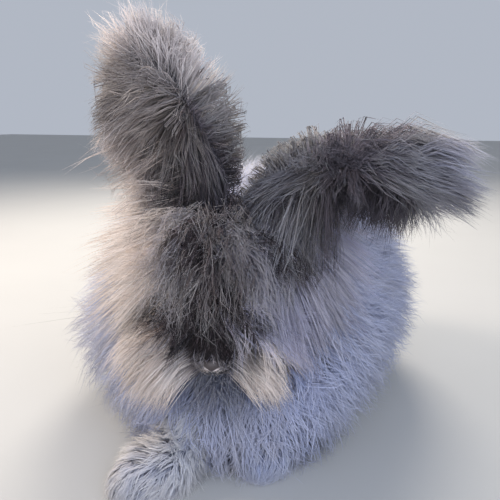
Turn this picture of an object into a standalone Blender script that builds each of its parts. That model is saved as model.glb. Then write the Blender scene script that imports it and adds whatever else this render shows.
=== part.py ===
"""A life-size angora rabbit, sitting, as a still museum model.

Metres, +Z up. The rabbit faces -Y and its spine runs back along +Y, so its left side is +X. It sits on the
soles of its four feet, all flat at z = 0. The right ear stands and the left ear lies out level to its side.
Body parts are ellipsoid lobes of flesh under wool. A core takes up less than half of the wool's depth, and
flat tapered locks grow from it, bend over along the lie of the coat and stay inside the part's own bounds.
"""

import math
from collections import namedtuple

import bmesh
import bpy
import numpy as np
from mathutils import Matrix, Vector

# The gap between neighbouring nodes, and how far a lock keeps from the bounds of its node and its neighbours.
GAP = 0.0005
LOCK_MARGIN = 0.0019
# How far a coarse mesh of rounded bounds is grown, so that its flat faces still lie outside them.
COARSE_SWELL = 0.0022
# How far outside the bounds of wool over it a lock takes root, and outside the cores under it.
ROOT_UNDER_WOOL = -0.016
ROOT_OVER_CORE = 0.001
# The share of the wool's depth that is solid: 0 is the skin and 1 is the tips.
CORE_SHARE = 0.42
FULL_SHARE = 1.0
# The share of the wool that grows about the eyes, the nose and the mouth.
SHORT_HAIR = 0.04
# How softly the lobes of one body part run into each other.
BLEND = 0.012
# The lowest that the core of the wool and the locks hang over the floor.
CORE_FLOOR = 0.010
LOCK_FLOOR = 0.0025
# The longest ray, and how often it is halved to find a surface.
RAY_LENGTH = 0.4
HALVINGS = 22
SLOPE_STEP = 0.0005
TINY = 1e-9
DOWN = np.array((0.0, 0.0, -1.0))
GOLDEN_TURN = math.pi * (3.0 - math.sqrt(5.0))

# The head: where the nose tip is, and how the head is turned to its left, tipped nose-down and rolled.
NOSE_TIP = Vector((0.029, -0.1725, 0.094))
HEAD_YAW = math.radians(15.0)
HEAD_PITCH = math.radians(47.0)
HEAD_ROLL = math.radians(5.0)

# The right eye, in the head's own axes: back from the nose, out to the right, up from the face.
EYE_RADIUS = 0.0088
EYE_PLACE = (0.050, 0.0165, 0.0075)
EYE_LOOK = (-0.35, 0.90, 0.25)
LID_THICKNESS = 0.0019
LID_OPENING = (0.0130, 0.0072, 0.0054)
LID_OPENING_OUT = 0.0095
# How near the eye and the nose tip no lock takes root, and how far the bare bridge of the nose runs.
EYE_CLEAR = 0.0125
NOSE_CLEAR = 0.028
BRIDGE_BACK = 0.046
BRIDGE_HALF = 0.013

# A lobe is one ellipsoid of flesh: its centre, its half sizes, and the depth of wool that grows from it.
Lobe = namedtuple("Lobe", "centre radii wool")

TORSO = [
    Lobe((0.0, 0.035, 0.084), (0.090, 0.090, 0.070), 0.060),
    Lobe((-0.003, -0.048, 0.076), (0.086, 0.066, 0.058), 0.057),
    Lobe((0.014, -0.100, 0.037), (0.058, 0.036, 0.029), 0.044),
]
NECK = [Lobe((0.011, -0.066, 0.139), (0.045, 0.048, 0.044), 0.027)]
TAIL = [Lobe((0.0, 0.140, 0.068), (0.018, 0.026, 0.022), 0.036)]

# The head's lobes, in the head's axes: muzzle, bridge of the nose, skull and the two cheeks.
HEAD = [
    Lobe((0.018, 0.0, -0.004), (0.021, 0.0165, 0.016), 0.003),
    Lobe((0.044, 0.0, 0.001), (0.032, 0.0200, 0.021), 0.012),
    Lobe((0.072, 0.0, 0.002), (0.033, 0.0260, 0.025), 0.036),
    Lobe((0.054, 0.019, -0.022), (0.024, 0.0160, 0.018), 0.056),
    Lobe((0.054, -0.019, -0.022), (0.024, 0.0160, 0.018), 0.056),
]
# The head's wool ends behind the beard at this plane, which leans back over the throat: a point of it, in the
# part's frame, and its outward direction.
THROAT = ((0.018, -0.148, 0.050), (-0.183, 0.683, -0.707))
# Small forms of the face in the head's axes: centre, half sizes.
NOSE_PAD = ((0.0005, 0.0, 0.0015), (0.0040, 0.0078, 0.0056))
LIP_PAD = ((0.0075, 0.0056, -0.0085), (0.0095, 0.0066, 0.0068))
CHIN = ((0.0170, 0.0, -0.0175), (0.0110, 0.0080, 0.0058))
NOSTRIL = ((-0.0022, 0.0044, 0.0012), (0.0036, 0.0026, 0.0010))
MOUTH = ((0.0120, 0.0, -0.0148), (0.0150, 0.0125, 0.0009))

# The legs' lobes, each in the axes of its own foot: forward to the toes, to the left, and up from the sole.
FORELEG = [
    Lobe((0.006, 0.0, 0.010), (0.021, 0.0140, 0.0125), 0.019),
    Lobe((0.021, -0.0100, 0.0075), (0.011, 0.0048, 0.0078), 0.008),
    Lobe((0.026, -0.0034, 0.0080), (0.012, 0.0048, 0.0082), 0.008),
    Lobe((0.026, 0.0034, 0.0080), (0.012, 0.0048, 0.0082), 0.008),
    Lobe((0.021, 0.0100, 0.0075), (0.011, 0.0048, 0.0078), 0.008),
    Lobe((-0.020, 0.0, 0.026), (0.015, 0.0130, 0.0230), 0.004),
]
HINDLEG = [
    Lobe((0.020, 0.0, 0.010), (0.060, 0.0160, 0.0130), 0.004),
    Lobe((0.076, -0.0085, 0.0080), (0.016, 0.0056, 0.0090), 0.003),
    Lobe((0.082, 0.0, 0.0085), (0.017, 0.0056, 0.0095), 0.003),
    Lobe((0.076, 0.0085, 0.0080), (0.016, 0.0056, 0.0090), 0.003),
    Lobe((0.000, 0.0, 0.036), (0.050, 0.0240, 0.0300), 0.004),
]
# Where each foot's axes start on the floor, and its turn to the left from straight ahead.
FOOT_PLACES = {
    "foreleg_right": ((-0.007, -0.174, 0.0), math.radians(-26.0)),
    "foreleg_left": ((0.052, -0.116, 0.0), math.radians(6.0)),
    "hindleg_right": ((-0.070, 0.030, 0.0), math.radians(-7.0)),
    "hindleg_left": ((0.070, 0.030, 0.0), math.radians(7.0)),
}

# Each ear's wool as stations from its root: the middle, and its reach there.
EAR_RIGHT_WOOL = [
    ((0.0065, -0.1230, 0.160), 0.010),
    ((0.0030, -0.1220, 0.180), 0.017),
    ((0.0000, -0.1220, 0.205), 0.027),
    ((-0.0060, -0.1230, 0.235), 0.041),
    ((-0.0180, -0.1290, 0.264), 0.053),
    ((-0.0340, -0.1310, 0.288), 0.049),
    ((-0.0440, -0.1310, 0.310), 0.034),
    ((-0.0430, -0.1310, 0.331), 0.004),
]
EAR_LEFT_WOOL = [
    ((0.0290, -0.1170, 0.164), 0.010),
    ((0.0390, -0.1140, 0.184), 0.016),
    ((0.0560, -0.1110, 0.207), 0.025),
    ((0.0820, -0.1090, 0.216), 0.037),
    ((0.1110, -0.1090, 0.217), 0.044),
    ((0.1420, -0.1080, 0.216), 0.043),
    ((0.1720, -0.1040, 0.215), 0.033),
    ((0.1980, -0.0980, 0.215), 0.004),
]
EAR_WOOL_FLATNESS = 0.85
# Each ear's blade as stations from its root: the middle of its back, and half of its width.
EAR_RIGHT_BLADE = [
    ((0.0060, -0.1220, 0.164), 0.0085),
    ((0.0030, -0.1200, 0.180), 0.0130),
    ((-0.0010, -0.1190, 0.205), 0.0190),
    ((-0.0090, -0.1210, 0.235), 0.0225),
    ((-0.0200, -0.1270, 0.262), 0.0200),
    ((-0.0290, -0.1290, 0.281), 0.0130),
    ((-0.0350, -0.1290, 0.294), 0.0050),
]
EAR_LEFT_BLADE = [
    ((0.0300, -0.1160, 0.168), 0.0085),
    ((0.0390, -0.1120, 0.187), 0.0130),
    ((0.0560, -0.1090, 0.211), 0.0180),
    ((0.0830, -0.1070, 0.227), 0.0225),
    ((0.1100, -0.1070, 0.230), 0.0205),
    ((0.1310, -0.1060, 0.228), 0.0130),
    ((0.1440, -0.1050, 0.225), 0.0050),
]
EAR_BLADES = {"ear_right": EAR_RIGHT_BLADE, "ear_left": EAR_LEFT_BLADE}
EAR_FACING = {
    "ear_right": np.array((-0.15, -1.0, 0.1)),
    "ear_left": np.array((0.1, -0.35, -1.0)),
}
BLADE_THICKNESS = 0.0042
BLADE_RINGS = 8
# The solid part of the wool on the back of each ear.
BLADE_WOOL = 0.010
# Half the angle that the blade's cup spans, and points across it.
CUP_ANGLE = math.radians(62.0)
CUP_POINTS = 6

# A lock's length, width and thickness, how steeply it leaves the surface and how fast it lies down, and how
# much it hangs.
LockSize = namedtuple("LockSize", "length width thickness lift easing droop")
FLEECE = LockSize(0.080, 0.040, 0.0070, math.radians(56), 0.27, 0.30)
SKIRT = LockSize(0.060, 0.036, 0.0060, math.radians(52), 0.27, 0.45)
RUFF = LockSize(0.060, 0.030, 0.0055, math.radians(54), 0.27, 0.35)
CHEEK = LockSize(0.072, 0.031, 0.0056, math.radians(50), 0.22, 0.55)
FRINGE = LockSize(0.046, 0.025, 0.0046, math.radians(44), 0.27, 0.35)
MOUSTACHE = LockSize(0.038, 0.014, 0.0036, math.radians(36), 0.24, 0.50)
BRUSH = LockSize(0.042, 0.022, 0.0050, math.radians(48), 0.27, 0.20)
TASSEL = LockSize(0.060, 0.034, 0.0056, math.radians(56), 0.14, 0.35)
FEATHER = LockSize(0.024, 0.013, 0.0032, math.radians(40), 0.27, 0.30)
# The parts of a lock's length between its rings, and its width and thickness at each ring.
LOCK_STEPS = (0.22, 0.26, 0.27, 0.25)
LOCK_WIDTHS = (0.60, 1.00, 0.92, 0.58)
LOCK_DEPTHS = (0.85, 1.00, 0.85, 0.60)
# The least that a lock's ridge stands over its two sides.
LEAST_DEPTH = 0.0014
# A lock is left out where its rings lie closer together, hold less area, or turn more than these allow.
LEAST_STEP = 0.0022
LEAST_OPENING = 2.5e-6
LEAST_TURN = 0.15
# How deep a lock's root is sunk into the core and into the thin blade of an ear.
ROOT_SUNK = 0.0050
BLADE_SUNK = 0.0016

LOCK_COUNTS = {
    "torso": 132,
    "neck": 34,
    "head": 92,
    "tail": 24,
    "ear_right": 28,
    "ear_left": 25,
    "foreleg_right": 16,
    "foreleg_left": 14,
}
# What starts each node's own run of random numbers.
LOCK_SEEDS = {
    "torso": 4,
    "neck": 1,
    "head": 4,
    "tail": 4,
    "ear_right": 2,
    "ear_left": 1,
    "foreleg_right": 1,
    "foreleg_left": 1,
}
# Points of each node's core mesh, and of the coarse mesh that keeps its neighbours clear of it.
CORE_POINTS = {"torso": 260, "neck": 90, "head": 320, "tail": 60, "foreleg": 170, "hindleg": 110, "eye": 72}
BOUND_POINTS = {"torso": 260, "neck": 130, "head": 320, "tail": 80}
# The nodes whose wool lies over each node's own, and those whose cores its wool lies on.
OVER = {
    "torso": (
        "neck",
        "head",
        "tail",
        "ear_right",
        "ear_left",
        "foreleg_right",
        "foreleg_left",
        "hindleg_right",
        "hindleg_left",
    ),
    "neck": ("head", "ear_right", "ear_left", "foreleg_right", "foreleg_left"),
    "head": ("ear_right", "ear_left", "eye_right", "eye_left", "foreleg_right", "foreleg_left"),
    "tail": (),
    "ear_right": (),
    "ear_left": ("ear_right",),
    "foreleg_right": (),
    "foreleg_left": (),
}
UNDER = {
    "torso": (),
    "neck": ("torso",),
    "head": ("neck", "torso"),
    "tail": ("torso",),
    "ear_right": ("head", "neck"),
    "ear_left": ("head", "neck"),
    "foreleg_right": ("torso",),
    "foreleg_left": ("torso",),
}

COLOURS = {
    "torso": (0.36, 0.38, 0.42),
    "neck": (0.33, 0.33, 0.36),
    "head": (0.27, 0.23, 0.21),
    "tail": (0.38, 0.40, 0.44),
    "ear_right": (0.15, 0.13, 0.125),
    "ear_left": (0.15, 0.135, 0.13),
    "foreleg_right": (0.46, 0.46, 0.47),
    "foreleg_left": (0.44, 0.44, 0.46),
    "hindleg_right": (0.40, 0.41, 0.44),
    "hindleg_left": (0.40, 0.41, 0.44),
    "eye_right": (0.03, 0.02, 0.015),
    "eye_left": (0.03, 0.02, 0.015),
}
WOOL_ROUGHNESS = 0.95
EYE_ROUGHNESS = 0.08


def clear_scene():
    for obj in list(bpy.data.objects):
        bpy.data.objects.remove(obj)


def unit(vectors):
    """The vectors at length 1."""
    return vectors / np.maximum(np.linalg.norm(vectors, axis=-1, keepdims=True), TINY)


def eased(values, start, end):
    """0 up to the start and 1 from the end on, with a smooth rise between."""
    part = np.clip((values - start) / (end - start), 0.0, 1.0)
    return part * part * (3.0 - 2.0 * part)


def even_directions(count):
    """Directions spread evenly over a ball, on a spiral that turns by the golden angle."""
    step = np.arange(count) + 0.5
    height = 1.0 - 2.0 * step / count
    ring = np.sqrt(1.0 - height**2)
    turn = step * GOLDEN_TURN
    return np.stack([ring * np.cos(turn), ring * np.sin(turn), height], axis=1)


def slope_of(distance, points):
    """The direction in which a distance grows fastest at each point."""
    steps = np.eye(3) * SLOPE_STEP
    return unit(np.stack([distance(points + s) - distance(points - s) for s in steps], axis=1))


def head_axes():
    """The head's axes, back, right and up from the nose tip, as a matrix into the part's frame."""
    level_back = Vector((-math.sin(HEAD_YAW), math.cos(HEAD_YAW), 0.0))
    back = level_back * math.cos(HEAD_PITCH) + Vector((0, 0, math.sin(HEAD_PITCH)))
    right = Vector((-math.cos(HEAD_YAW), -math.sin(HEAD_YAW), 0.0))
    right.rotate(Matrix.Rotation(HEAD_ROLL, 3, back))
    turn = Matrix((back, right, back.cross(right))).transposed()
    return Matrix.Translation(NOSE_TIP) @ turn.to_4x4()


def foot_axes(place, turn):
    """A foot's axes, forward, left and up from its heel side, as a matrix into the part's frame."""
    forward = Vector((math.sin(turn), -math.cos(turn), 0.0))
    left = Vector((math.cos(turn), math.sin(turn), 0.0))
    axes = Matrix((forward, left, Vector((0, 0, 1)))).transposed()
    return Matrix.Translation(place) @ axes.to_4x4()


def mirrored(local):
    return (local[0], -local[1], local[2])


class Flesh:
    """A body part of lobes in its own axes, from the skin, at share 0 of its wool, to the tips, at share 1."""

    def __init__(self, lobes, axes=None, short_spots=(), wool_end=None):
        self.lobes = lobes
        self.axes = np.array(axes or Matrix.Identity(4))
        self.short_spots = short_spots
        self.wool_end = wool_end

    def local(self, points):
        """The points in the body part's own axes."""
        return (points - self.axes[:3, 3]) @ self.axes[:3, :3]

    def place(self, local):
        """A point of the body part's own axes in the part's frame."""
        return self.axes[:3, :3] @ np.array(local) + self.axes[:3, 3]

    def wool_left(self, local):
        """The share of the wool that is left at each point, less along the look of a spot of short hair."""
        left = np.ones(len(local))
        for spot, look, inner, outer in self.short_spots:
            look = unit(np.array(look))
            offset = local - np.array(spot)
            ahead = np.maximum(offset @ look, 0.0)
            away = np.linalg.norm(offset - ahead[:, None] * look, axis=1)
            left = np.minimum(left, SHORT_HAIR + (1.0 - SHORT_HAIR) * eased(away, inner, outer))
        return left

    def distance(self, points, share=FULL_SHARE):
        """How far each point lies outside the surface at this share of the wool, less than 0 inside it."""
        local = self.local(points)
        wool = share * self.wool_left(local)
        found = None
        for lobe in self.lobes:
            half = np.array(lobe.radii) + wool[:, None] * lobe.wool
            offset = local - np.array(lobe.centre)
            near = np.linalg.norm(offset / half, axis=1)
            steep = np.linalg.norm(offset / half**2, axis=1)
            away = near * (near - 1.0) / np.maximum(steep, TINY)
            if found is None:
                found = away
                continue
            mix = np.clip(0.5 + 0.5 * (away - found) / BLEND, 0.0, 1.0)
            found = away + (found - away) * mix - BLEND * mix * (1.0 - mix)
        if self.wool_end is None or share <= CORE_SHARE:
            return found
        point, outward = (np.array(item) for item in self.wool_end)
        return np.minimum(np.maximum(found, (points - point) @ outward), self.distance(points, CORE_SHARE))

    def slope(self, points):
        """The outward direction at each point."""
        return slope_of(self.distance, points)

    def reach(self, origin, directions, share, swell=0.0):
        """Where rays from a point inside the body part meet its surface at this share of the wool."""
        low = np.zeros(len(directions))
        high = np.full(len(directions), RAY_LENGTH)
        for _ in range(HALVINGS):
            middle = (low + high) / 2.0
            inside = self.distance(origin + directions * middle[:, None], share) < swell
            low = np.where(inside, middle, low)
            high = np.where(inside, high, middle)
        return origin + directions * low[:, None]


class EarWool:
    """The bounds of an ear's wool: an oval tube of changing reach along the ear."""

    def __init__(self, stations, facing):
        self.stations = stations
        self.facing = facing
        rows = smooth_path(stations, 60)
        self.line, self.sizes = rows[:, :3], rows[:, 3]
        self.along, self.aside, self.front = frames_along(self.line, facing)

    def nearest(self, points):
        """Which step of the middle line lies nearest to each point."""
        return np.linalg.norm(points[:, None] - self.line[None], axis=2).argmin(axis=1)

    def distance(self, points):
        step = self.nearest(points)
        offset = points - self.line[step]
        parts = np.stack(
            [
                (offset * self.aside[step]).sum(axis=1),
                (offset * self.front[step]).sum(axis=1) / EAR_WOOL_FLATNESS,
                (offset * self.along[step]).sum(axis=1),
            ],
            axis=1,
        )
        return np.linalg.norm(parts, axis=1) - self.sizes[step]

    def slope(self, points):
        """Outward from the middle line."""
        return slope_of(self.distance, points)


def new_object(name, mesh, collection):
    obj = bpy.data.objects.new(name, mesh)
    collection.objects.link(obj)
    return obj


def mesh_of(name, points, faces):
    mesh = bpy.data.meshes.new(name)
    mesh.from_pydata([tuple(map(float, p)) for p in points], [], [tuple(map(int, f)) for f in faces])
    work = bmesh.new()
    work.from_mesh(mesh)
    bmesh.ops.recalc_face_normals(work, faces=work.faces)
    bmesh.ops.triangulate(work, faces=work.faces)
    work.to_mesh(mesh)
    work.free()
    return mesh


def ball(name, collection, count, lean=None):
    """An even ball of radius 1 whose points are directions, drawn closer together around the lean."""
    work = bmesh.new()
    for direction in even_directions(count):
        work.verts.new(direction)
    bmesh.ops.convex_hull(work, input=work.verts)
    bmesh.ops.triangulate(work, faces=work.faces)
    bmesh.ops.recalc_face_normals(work, faces=work.faces)
    if lean is not None:
        for vert in work.verts:
            vert.co = (vert.co + Vector(lean)).normalized()
    mesh = bpy.data.meshes.new(name)
    work.to_mesh(mesh)
    work.free()
    return new_object(name, mesh, collection)


def points_of(obj):
    flat = np.empty(len(obj.data.vertices) * 3)
    obj.data.vertices.foreach_get("co", flat)
    return flat.reshape(-1, 3)


def move_points(obj, points):
    obj.data.vertices.foreach_set("co", np.ascontiguousarray(points, float).ravel())
    obj.data.update()


def form(name, collection, flesh, start, count, share, floor=None, swell=0.0, lean=None):
    """The body part's surface at a share of its wool along rays from a start inside it, held up off a floor."""
    obj = ball(name, collection, count, lean)
    points = flesh.reach(np.array(start), unit(points_of(obj)), share, swell)
    if floor is not None:
        points[:, 2] = np.maximum(points[:, 2], floor)
    move_points(obj, points)
    return obj


def ellipsoid(name, collection, axes, centre, radii, count=60, look=None):
    """A ball stretched to these half sizes in the axes given, its first axis turned to the look."""
    obj = ball(name, collection, count)
    turn = Matrix.Identity(4)
    if look is not None:
        turn = Vector(look).to_track_quat("X", "Z").to_matrix().to_4x4()
    obj.data.transform(axes @ Matrix.Translation(centre) @ turn @ Matrix.Diagonal((*radii, 1.0)))
    return obj


def cut_flat(obj, level=0.0):
    """Takes away all that is below the level and closes the cut with one flat face."""
    work = bmesh.new()
    work.from_mesh(obj.data)
    everything = work.verts[:] + work.edges[:] + work.faces[:]
    place, up = (0, 0, level), (0, 0, 1)
    cut = bmesh.ops.bisect_plane(work, geom=everything, plane_co=place, plane_no=up, clear_inner=True)
    rim = [item for item in cut["geom_cut"] if isinstance(item, bmesh.types.BMEdge)]
    bmesh.ops.edgeloop_fill(work, edges=rim)
    bmesh.ops.recalc_face_normals(work, faces=work.faces)
    bmesh.ops.triangulate(work, faces=work.faces)
    work.to_mesh(obj.data)
    work.free()


def boolean(obj, others, operation):
    """Joins the other closed pieces to the object, or cuts them out of it, with one Boolean, and removes them."""
    if not others:
        return
    tools = bpy.data.collections.new("tools")
    tools.hide_render = True
    bpy.context.scene.collection.children.link(tools)
    for other in others:
        for user in list(other.users_collection):
            user.objects.unlink(other)
        tools.objects.link(other)
    step = obj.modifiers.new(operation, "BOOLEAN")
    step.operation = operation
    step.operand_type = "COLLECTION"
    step.collection = tools
    step.solver = "MANIFOLD"
    bpy.context.view_layer.update()
    graph = bpy.context.evaluated_depsgraph_get()
    made = bpy.data.meshes.new_from_object(obj.evaluated_get(graph))
    obj.modifiers.remove(step)
    obj.data = made
    for other in others:
        bpy.data.objects.remove(other)
    bpy.data.collections.remove(tools)


def shells_of(work):
    """The mesh's closed surfaces as pairs of the space each holds and its faces."""
    unseen = set(work.faces)
    shells = []
    while unseen:
        queue = [unseen.pop()]
        shell = []
        while queue:
            face = queue.pop()
            shell.append(face)
            near = {other for edge in face.edges for other in edge.link_faces} & unseen
            unseen -= near
            queue.extend(near)
        held = 0.0
        for face in shell:
            a, b, c = (loop.vert.co for loop in face.loops)
            held += a.dot(b.cross(c)) / 6.0
        shells.append((held, shell))
    return shells


def keep_largest(obj):
    """Leaves only the closed surface that holds the most."""
    work = bmesh.new()
    work.from_mesh(obj.data)
    bmesh.ops.triangulate(work, faces=work.faces)
    shells = sorted(shells_of(work), key=lambda item: item[0])
    for _, shell in shells[:-1]:
        bmesh.ops.delete(work, geom=shell, context="FACES")
    work.to_mesh(obj.data)
    work.free()


def smooth_path(stations, count):
    """A soft curve through the stations, points and sizes alike, at evenly spaced steps."""
    rows = np.array([(*point, size) for point, size in stations])
    rows = np.vstack([2 * rows[0] - rows[1], rows, 2 * rows[-1] - rows[-2]])
    spans = len(rows) - 3
    where = np.linspace(0.0, spans, count)
    index = np.minimum(where.astype(int), spans - 1)
    part = (where - index)[:, None]
    a, b, c, d = (rows[index + k] for k in range(4))
    square = (2 * a - 5 * b + 4 * c - d) * part**2
    return 0.5 * (2 * b + (c - a) * part + square + (3 * b - a - 3 * c + d) * part**3)


def frames_along(line, facing):
    """The direction along the line, to the side and to the facing side at each of its points."""
    along = unit(np.gradient(line, axis=0))
    aside = unit(np.cross(along, np.broadcast_to(facing, along.shape)))
    return along, aside, np.cross(aside, along)


def closed_loft(name, collection, rings, start, end):
    """A closed skin over rings of equally many points, drawn in to one point at each end."""
    count = rings.shape[1]
    points = np.vstack([rings.reshape(-1, 3), start, end])
    first, last = len(points) - 2, len(points) - 1
    top = (len(rings) - 1) * count
    faces = []
    for k in range(count):
        following = (k + 1) % count
        faces.append((first, following, k))
        faces.append((top + k, top + following, last))
        for ring in range(len(rings) - 1):
            low, high = ring * count, (ring + 1) * count
            faces.append((low + k, low + following, high + following))
            faces.append((low + k, high + following, high + k))
    return new_object(name, mesh_of(name, points, faces), collection)


def ear_bounds(collection, wool, swell):
    """The ear's bounds as a closed tube of oval rings."""
    rows = smooth_path(wool.stations, 12)
    line, sizes = rows[:, :3], rows[:, 3] + swell
    _, aside, front = frames_along(line, wool.facing)
    angle = np.linspace(0.0, 2 * math.pi, 12, endpoint=False)
    across = np.cos(angle)[None, :, None] * aside[:, None, :]
    through = np.sin(angle)[None, :, None] * front[:, None, :] * EAR_WOOL_FLATNESS
    rings = line[:, None, :] + (across + through) * sizes[:, None, None]
    start = line[0] - unit(line[1] - line[0]) * sizes[0]
    end = line[-1] + unit(line[-1] - line[-2]) * sizes[-1]
    return closed_loft("ear_bounds", collection, rings, start, end)


def ear_blade(name, collection, swell=0.0):
    """The ear's cupped blade: each ring runs across its back from rim to rim and returns inside the cup."""
    rows = smooth_path(EAR_BLADES[name], BLADE_RINGS)
    line, half = rows[:, :3], rows[:, 3] + swell
    _, aside, front = frames_along(line, EAR_FACING[name])
    across = np.linspace(-1.0, 1.0, CUP_POINTS)
    angle = across * CUP_ANGLE
    side = (np.sin(angle) / math.sin(CUP_ANGLE))[None, :, None] * half[:, None, None]
    rise = ((1.0 - np.cos(angle)) / math.sin(CUP_ANGLE))[None, :, None] * half[:, None, None]
    middle = line[:, None, :] + side * aside[:, None, :] + rise * front[:, None, :]
    wall = BLADE_THICKNESS / 2 * np.sqrt(np.maximum(1.0 - across**2, 0.0)) + BLADE_THICKNESS / 8 + swell
    inward = unit(
        np.cos(angle)[None, :, None] * front[:, None, :] - np.sin(angle)[None, :, None] * aside[:, None, :]
    )
    along = np.linspace(0.0, 1.0, len(line))
    wool = BLADE_WOOL * eased(along, 0.0, 0.45)[:, None] * (1.0 - across**2)[None, :]
    back = middle - inward * (wall[None, :] + wool)[:, :, None]
    cup = middle + inward * wall[None, :, None]
    rings = np.concatenate([back, cup[:, ::-1]], axis=1)
    start = line[0] + front[0] * half[0] * 0.4 - unit(line[1] - line[0]) * (half[0] * 0.6 + swell)
    end = line[-1] + front[-1] * half[-1] * 0.4 + unit(line[-1] - line[-2]) * (half[-1] * 0.7 + swell)
    return closed_loft(name, collection, rings, start, end), rings


def held(points, own, others, spare=0.0):
    """The points moved inside their node's own bounds, and outside its neighbours' bounds and the floor."""
    margin = LOCK_MARGIN + spare
    for _ in range(3):
        for other in others:
            depth = np.maximum(margin - other(points), 0.0)
            points = points + slope_of(other, points) * depth[:, None]
        if own is not None:
            depth = np.maximum(own(points) + margin, 0.0)
            points = points - slope_of(own, points) * depth[:, None]
        points[:, 2] = np.maximum(points[:, 2], LOCK_FLOOR)
    return points


def grow_locks(name, collection, roots, sizes, sunk, slope, lie, own, others, chance):
    """Flat three-sided locks: each leaves its root steeply, bends over into the lie and hangs towards its tip."""
    count = len(roots)
    size = np.array([tuple(item) for item in sizes])
    length = size[:, 0] * chance.uniform(0.80, 1.20, count)
    width = size[:, 1] * chance.uniform(0.82, 1.12, count)
    depth = size[:, 2] * chance.uniform(0.85, 1.15, count)
    swing = chance.normal(0.0, 0.22, count)
    curl = chance.normal(0.0, 0.30, count)
    lifted = size[:, 3] * chance.uniform(0.85, 1.10, count)
    outward = slope(roots)
    line = [roots - outward * sunk]
    point = line[0]
    for ring, step in enumerate(LOCK_STEPS):
        normal = slope(point)
        heading = lie(point, normal)
        aside = np.cross(normal, heading)
        turn = (swing + curl * ring / len(LOCK_STEPS))[:, None]
        heading = heading * np.cos(turn) + aside * np.sin(turn)
        lift = (lifted * (1.0 - size[:, 4] * ring))[:, None]
        droop = (size[:, 5] * ring / len(LOCK_STEPS))[:, None]
        ahead = unit(heading * np.cos(lift) + normal * np.sin(lift) + DOWN * droop)
        travel = length * step + (sunk if ring == 0 else 0.0)
        point = held(point + ahead * travel[:, None], own, others, depth)
        line.append(point)
    line = np.stack(line, axis=1)
    along = unit(np.gradient(line, axis=1))
    locks = []
    for k in range(count):
        normal = slope(line[k])
        aside = unit(np.cross(along[k], normal))
        ridge = np.cross(aside, along[k])
        rings = []
        for ring in range(len(LOCK_STEPS)):
            half = aside[ring] * width[k] * LOCK_WIDTHS[ring] / 2
            high = ridge[ring] * depth[k] * LOCK_DEPTHS[ring]
            middle = line[k, ring]
            rings.append(np.stack([middle - half, middle + high, middle + half]))
        shape = np.stack(rings)
        firm = held(shape[1:].reshape(-1, 3), own, others).reshape(-1, 3, 3)
        rise = ((firm[:, 1] - (firm[:, 0] + firm[:, 2]) / 2) * ridge[1:-1]).sum(axis=1)
        sink = ridge[1:-1] * np.maximum(LEAST_DEPTH - rise, 0.0)[:, None]
        firm[:, 0] -= sink
        firm[:, 2] -= sink
        shape = np.concatenate([shape[:1], firm])
        if is_sound(shape, line[k, -1]):
            locks.append(lock_mesh(name, collection, shape, line[k, -1]))
    return locks


def is_sound(rings, tip):
    """Whether a lock is nowhere crushed: its rings stay open, lie well apart and don't turn back."""
    middles = np.vstack([rings.mean(axis=1), tip])
    steps = np.diff(middles, axis=0)
    lengths = np.linalg.norm(steps, axis=1)
    bends = (unit(steps[1:]) * unit(steps[:-1])).sum(axis=1)
    openings = np.cross(rings[:, 1] - rings[:, 0], rings[:, 2] - rings[:, 0])
    areas = np.linalg.norm(openings, axis=1) / 2
    facing = (unit(openings)[1:] * unit(openings)[:-1]).sum(axis=1)
    straight = bends.min() > LEAST_TURN and facing.min() > LEAST_TURN
    return straight and lengths.min() > LEAST_STEP and areas.min() > LEAST_OPENING


def lock_mesh(name, collection, rings, tip):
    """A closed lock over its three-pointed rings, with a flat root and one point at its tip."""
    points = np.vstack([rings.reshape(-1, 3), tip])
    last = len(points) - 1
    faces = [(0, 2, 1)]
    for k in range(3):
        following = (k + 1) % 3
        top = (len(rings) - 1) * 3
        faces.append((top + k, top + following, last))
        for ring in range(len(rings) - 1):
            low, high = ring * 3, (ring + 1) * 3
            faces.append((low + k, low + following, high + following))
            faces.append((low + k, high + following, high + k))
    return new_object(name + "_lock", mesh_of(name + "_lock", points, faces), collection)


def level(vectors, normals):
    """The vectors laid down along the surface."""
    return unit(vectors - (vectors * normals).sum(axis=1, keepdims=True) * normals)


def body_lie(points, normals):
    """Back along the spine, out from it and down the sides, and straight down over the chest."""
    back = eased(points[:, 1], -0.11, 0.02)[:, None] * np.array((0.0, 0.75, 0.0))
    out = points * np.array((4.0, 0.0, 0.0))
    return level(back + out + DOWN * 0.9, normals)


def head_lie_of(head):
    """Away from the middle of the face and down, as the wool of the forehead and cheeks falls."""

    def lie(points, normals):
        local = head.local(points)
        aside = local[:, 1:2] / (np.abs(local[:, 1:2]) + 0.007)
        spread = 0.5 + 0.9 * (1.0 - eased(local[:, 0:1], 0.035, 0.075))
        return level(aside * spread * head.axes[:3, 1] + DOWN, normals)

    return lie


def tail_lie(points, normals):
    return level(np.array((0.0, 0.9, 0.0)) + DOWN * 0.3 + 0 * points, normals)


def ear_lie_of(wool):
    def lie(points, normals):
        return level(wool.along[wool.nearest(points)] + DOWN * 0.15, normals)

    return lie


def foot_lie_of(leg):
    def lie(points, normals):
        return level(leg.axes[:3, 0] * 0.9 + DOWN * 0.5 + 0 * points, normals)

    return lie


def root_places(flesh, start, count, chance, share=CORE_SHARE):
    """Evenly spread places on the core, each moved a little at random."""
    rays = even_directions(count) + chance.normal(0.0, 0.28 / math.sqrt(count), (count, 3))
    return flesh.reach(np.array(start), unit(rays), share)


def far_from(points, others, least):
    """Which points lie at least this far outside all of the neighbours' bounds."""
    keep = np.ones(len(points), bool)
    for other in others:
        keep &= other(points) > least
    return keep


def body_size(point):
    return SKIRT if point[2] < 0.055 else FLEECE


def head_size_of(head):
    def size(point):
        back, aside, up = head.local(point[None])[0]
        if back < 0.038:
            return MOUSTACHE
        if up > 0.012 and abs(aside) < 0.030:
            return FRINGE
        return CHEEK

    return size


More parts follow.
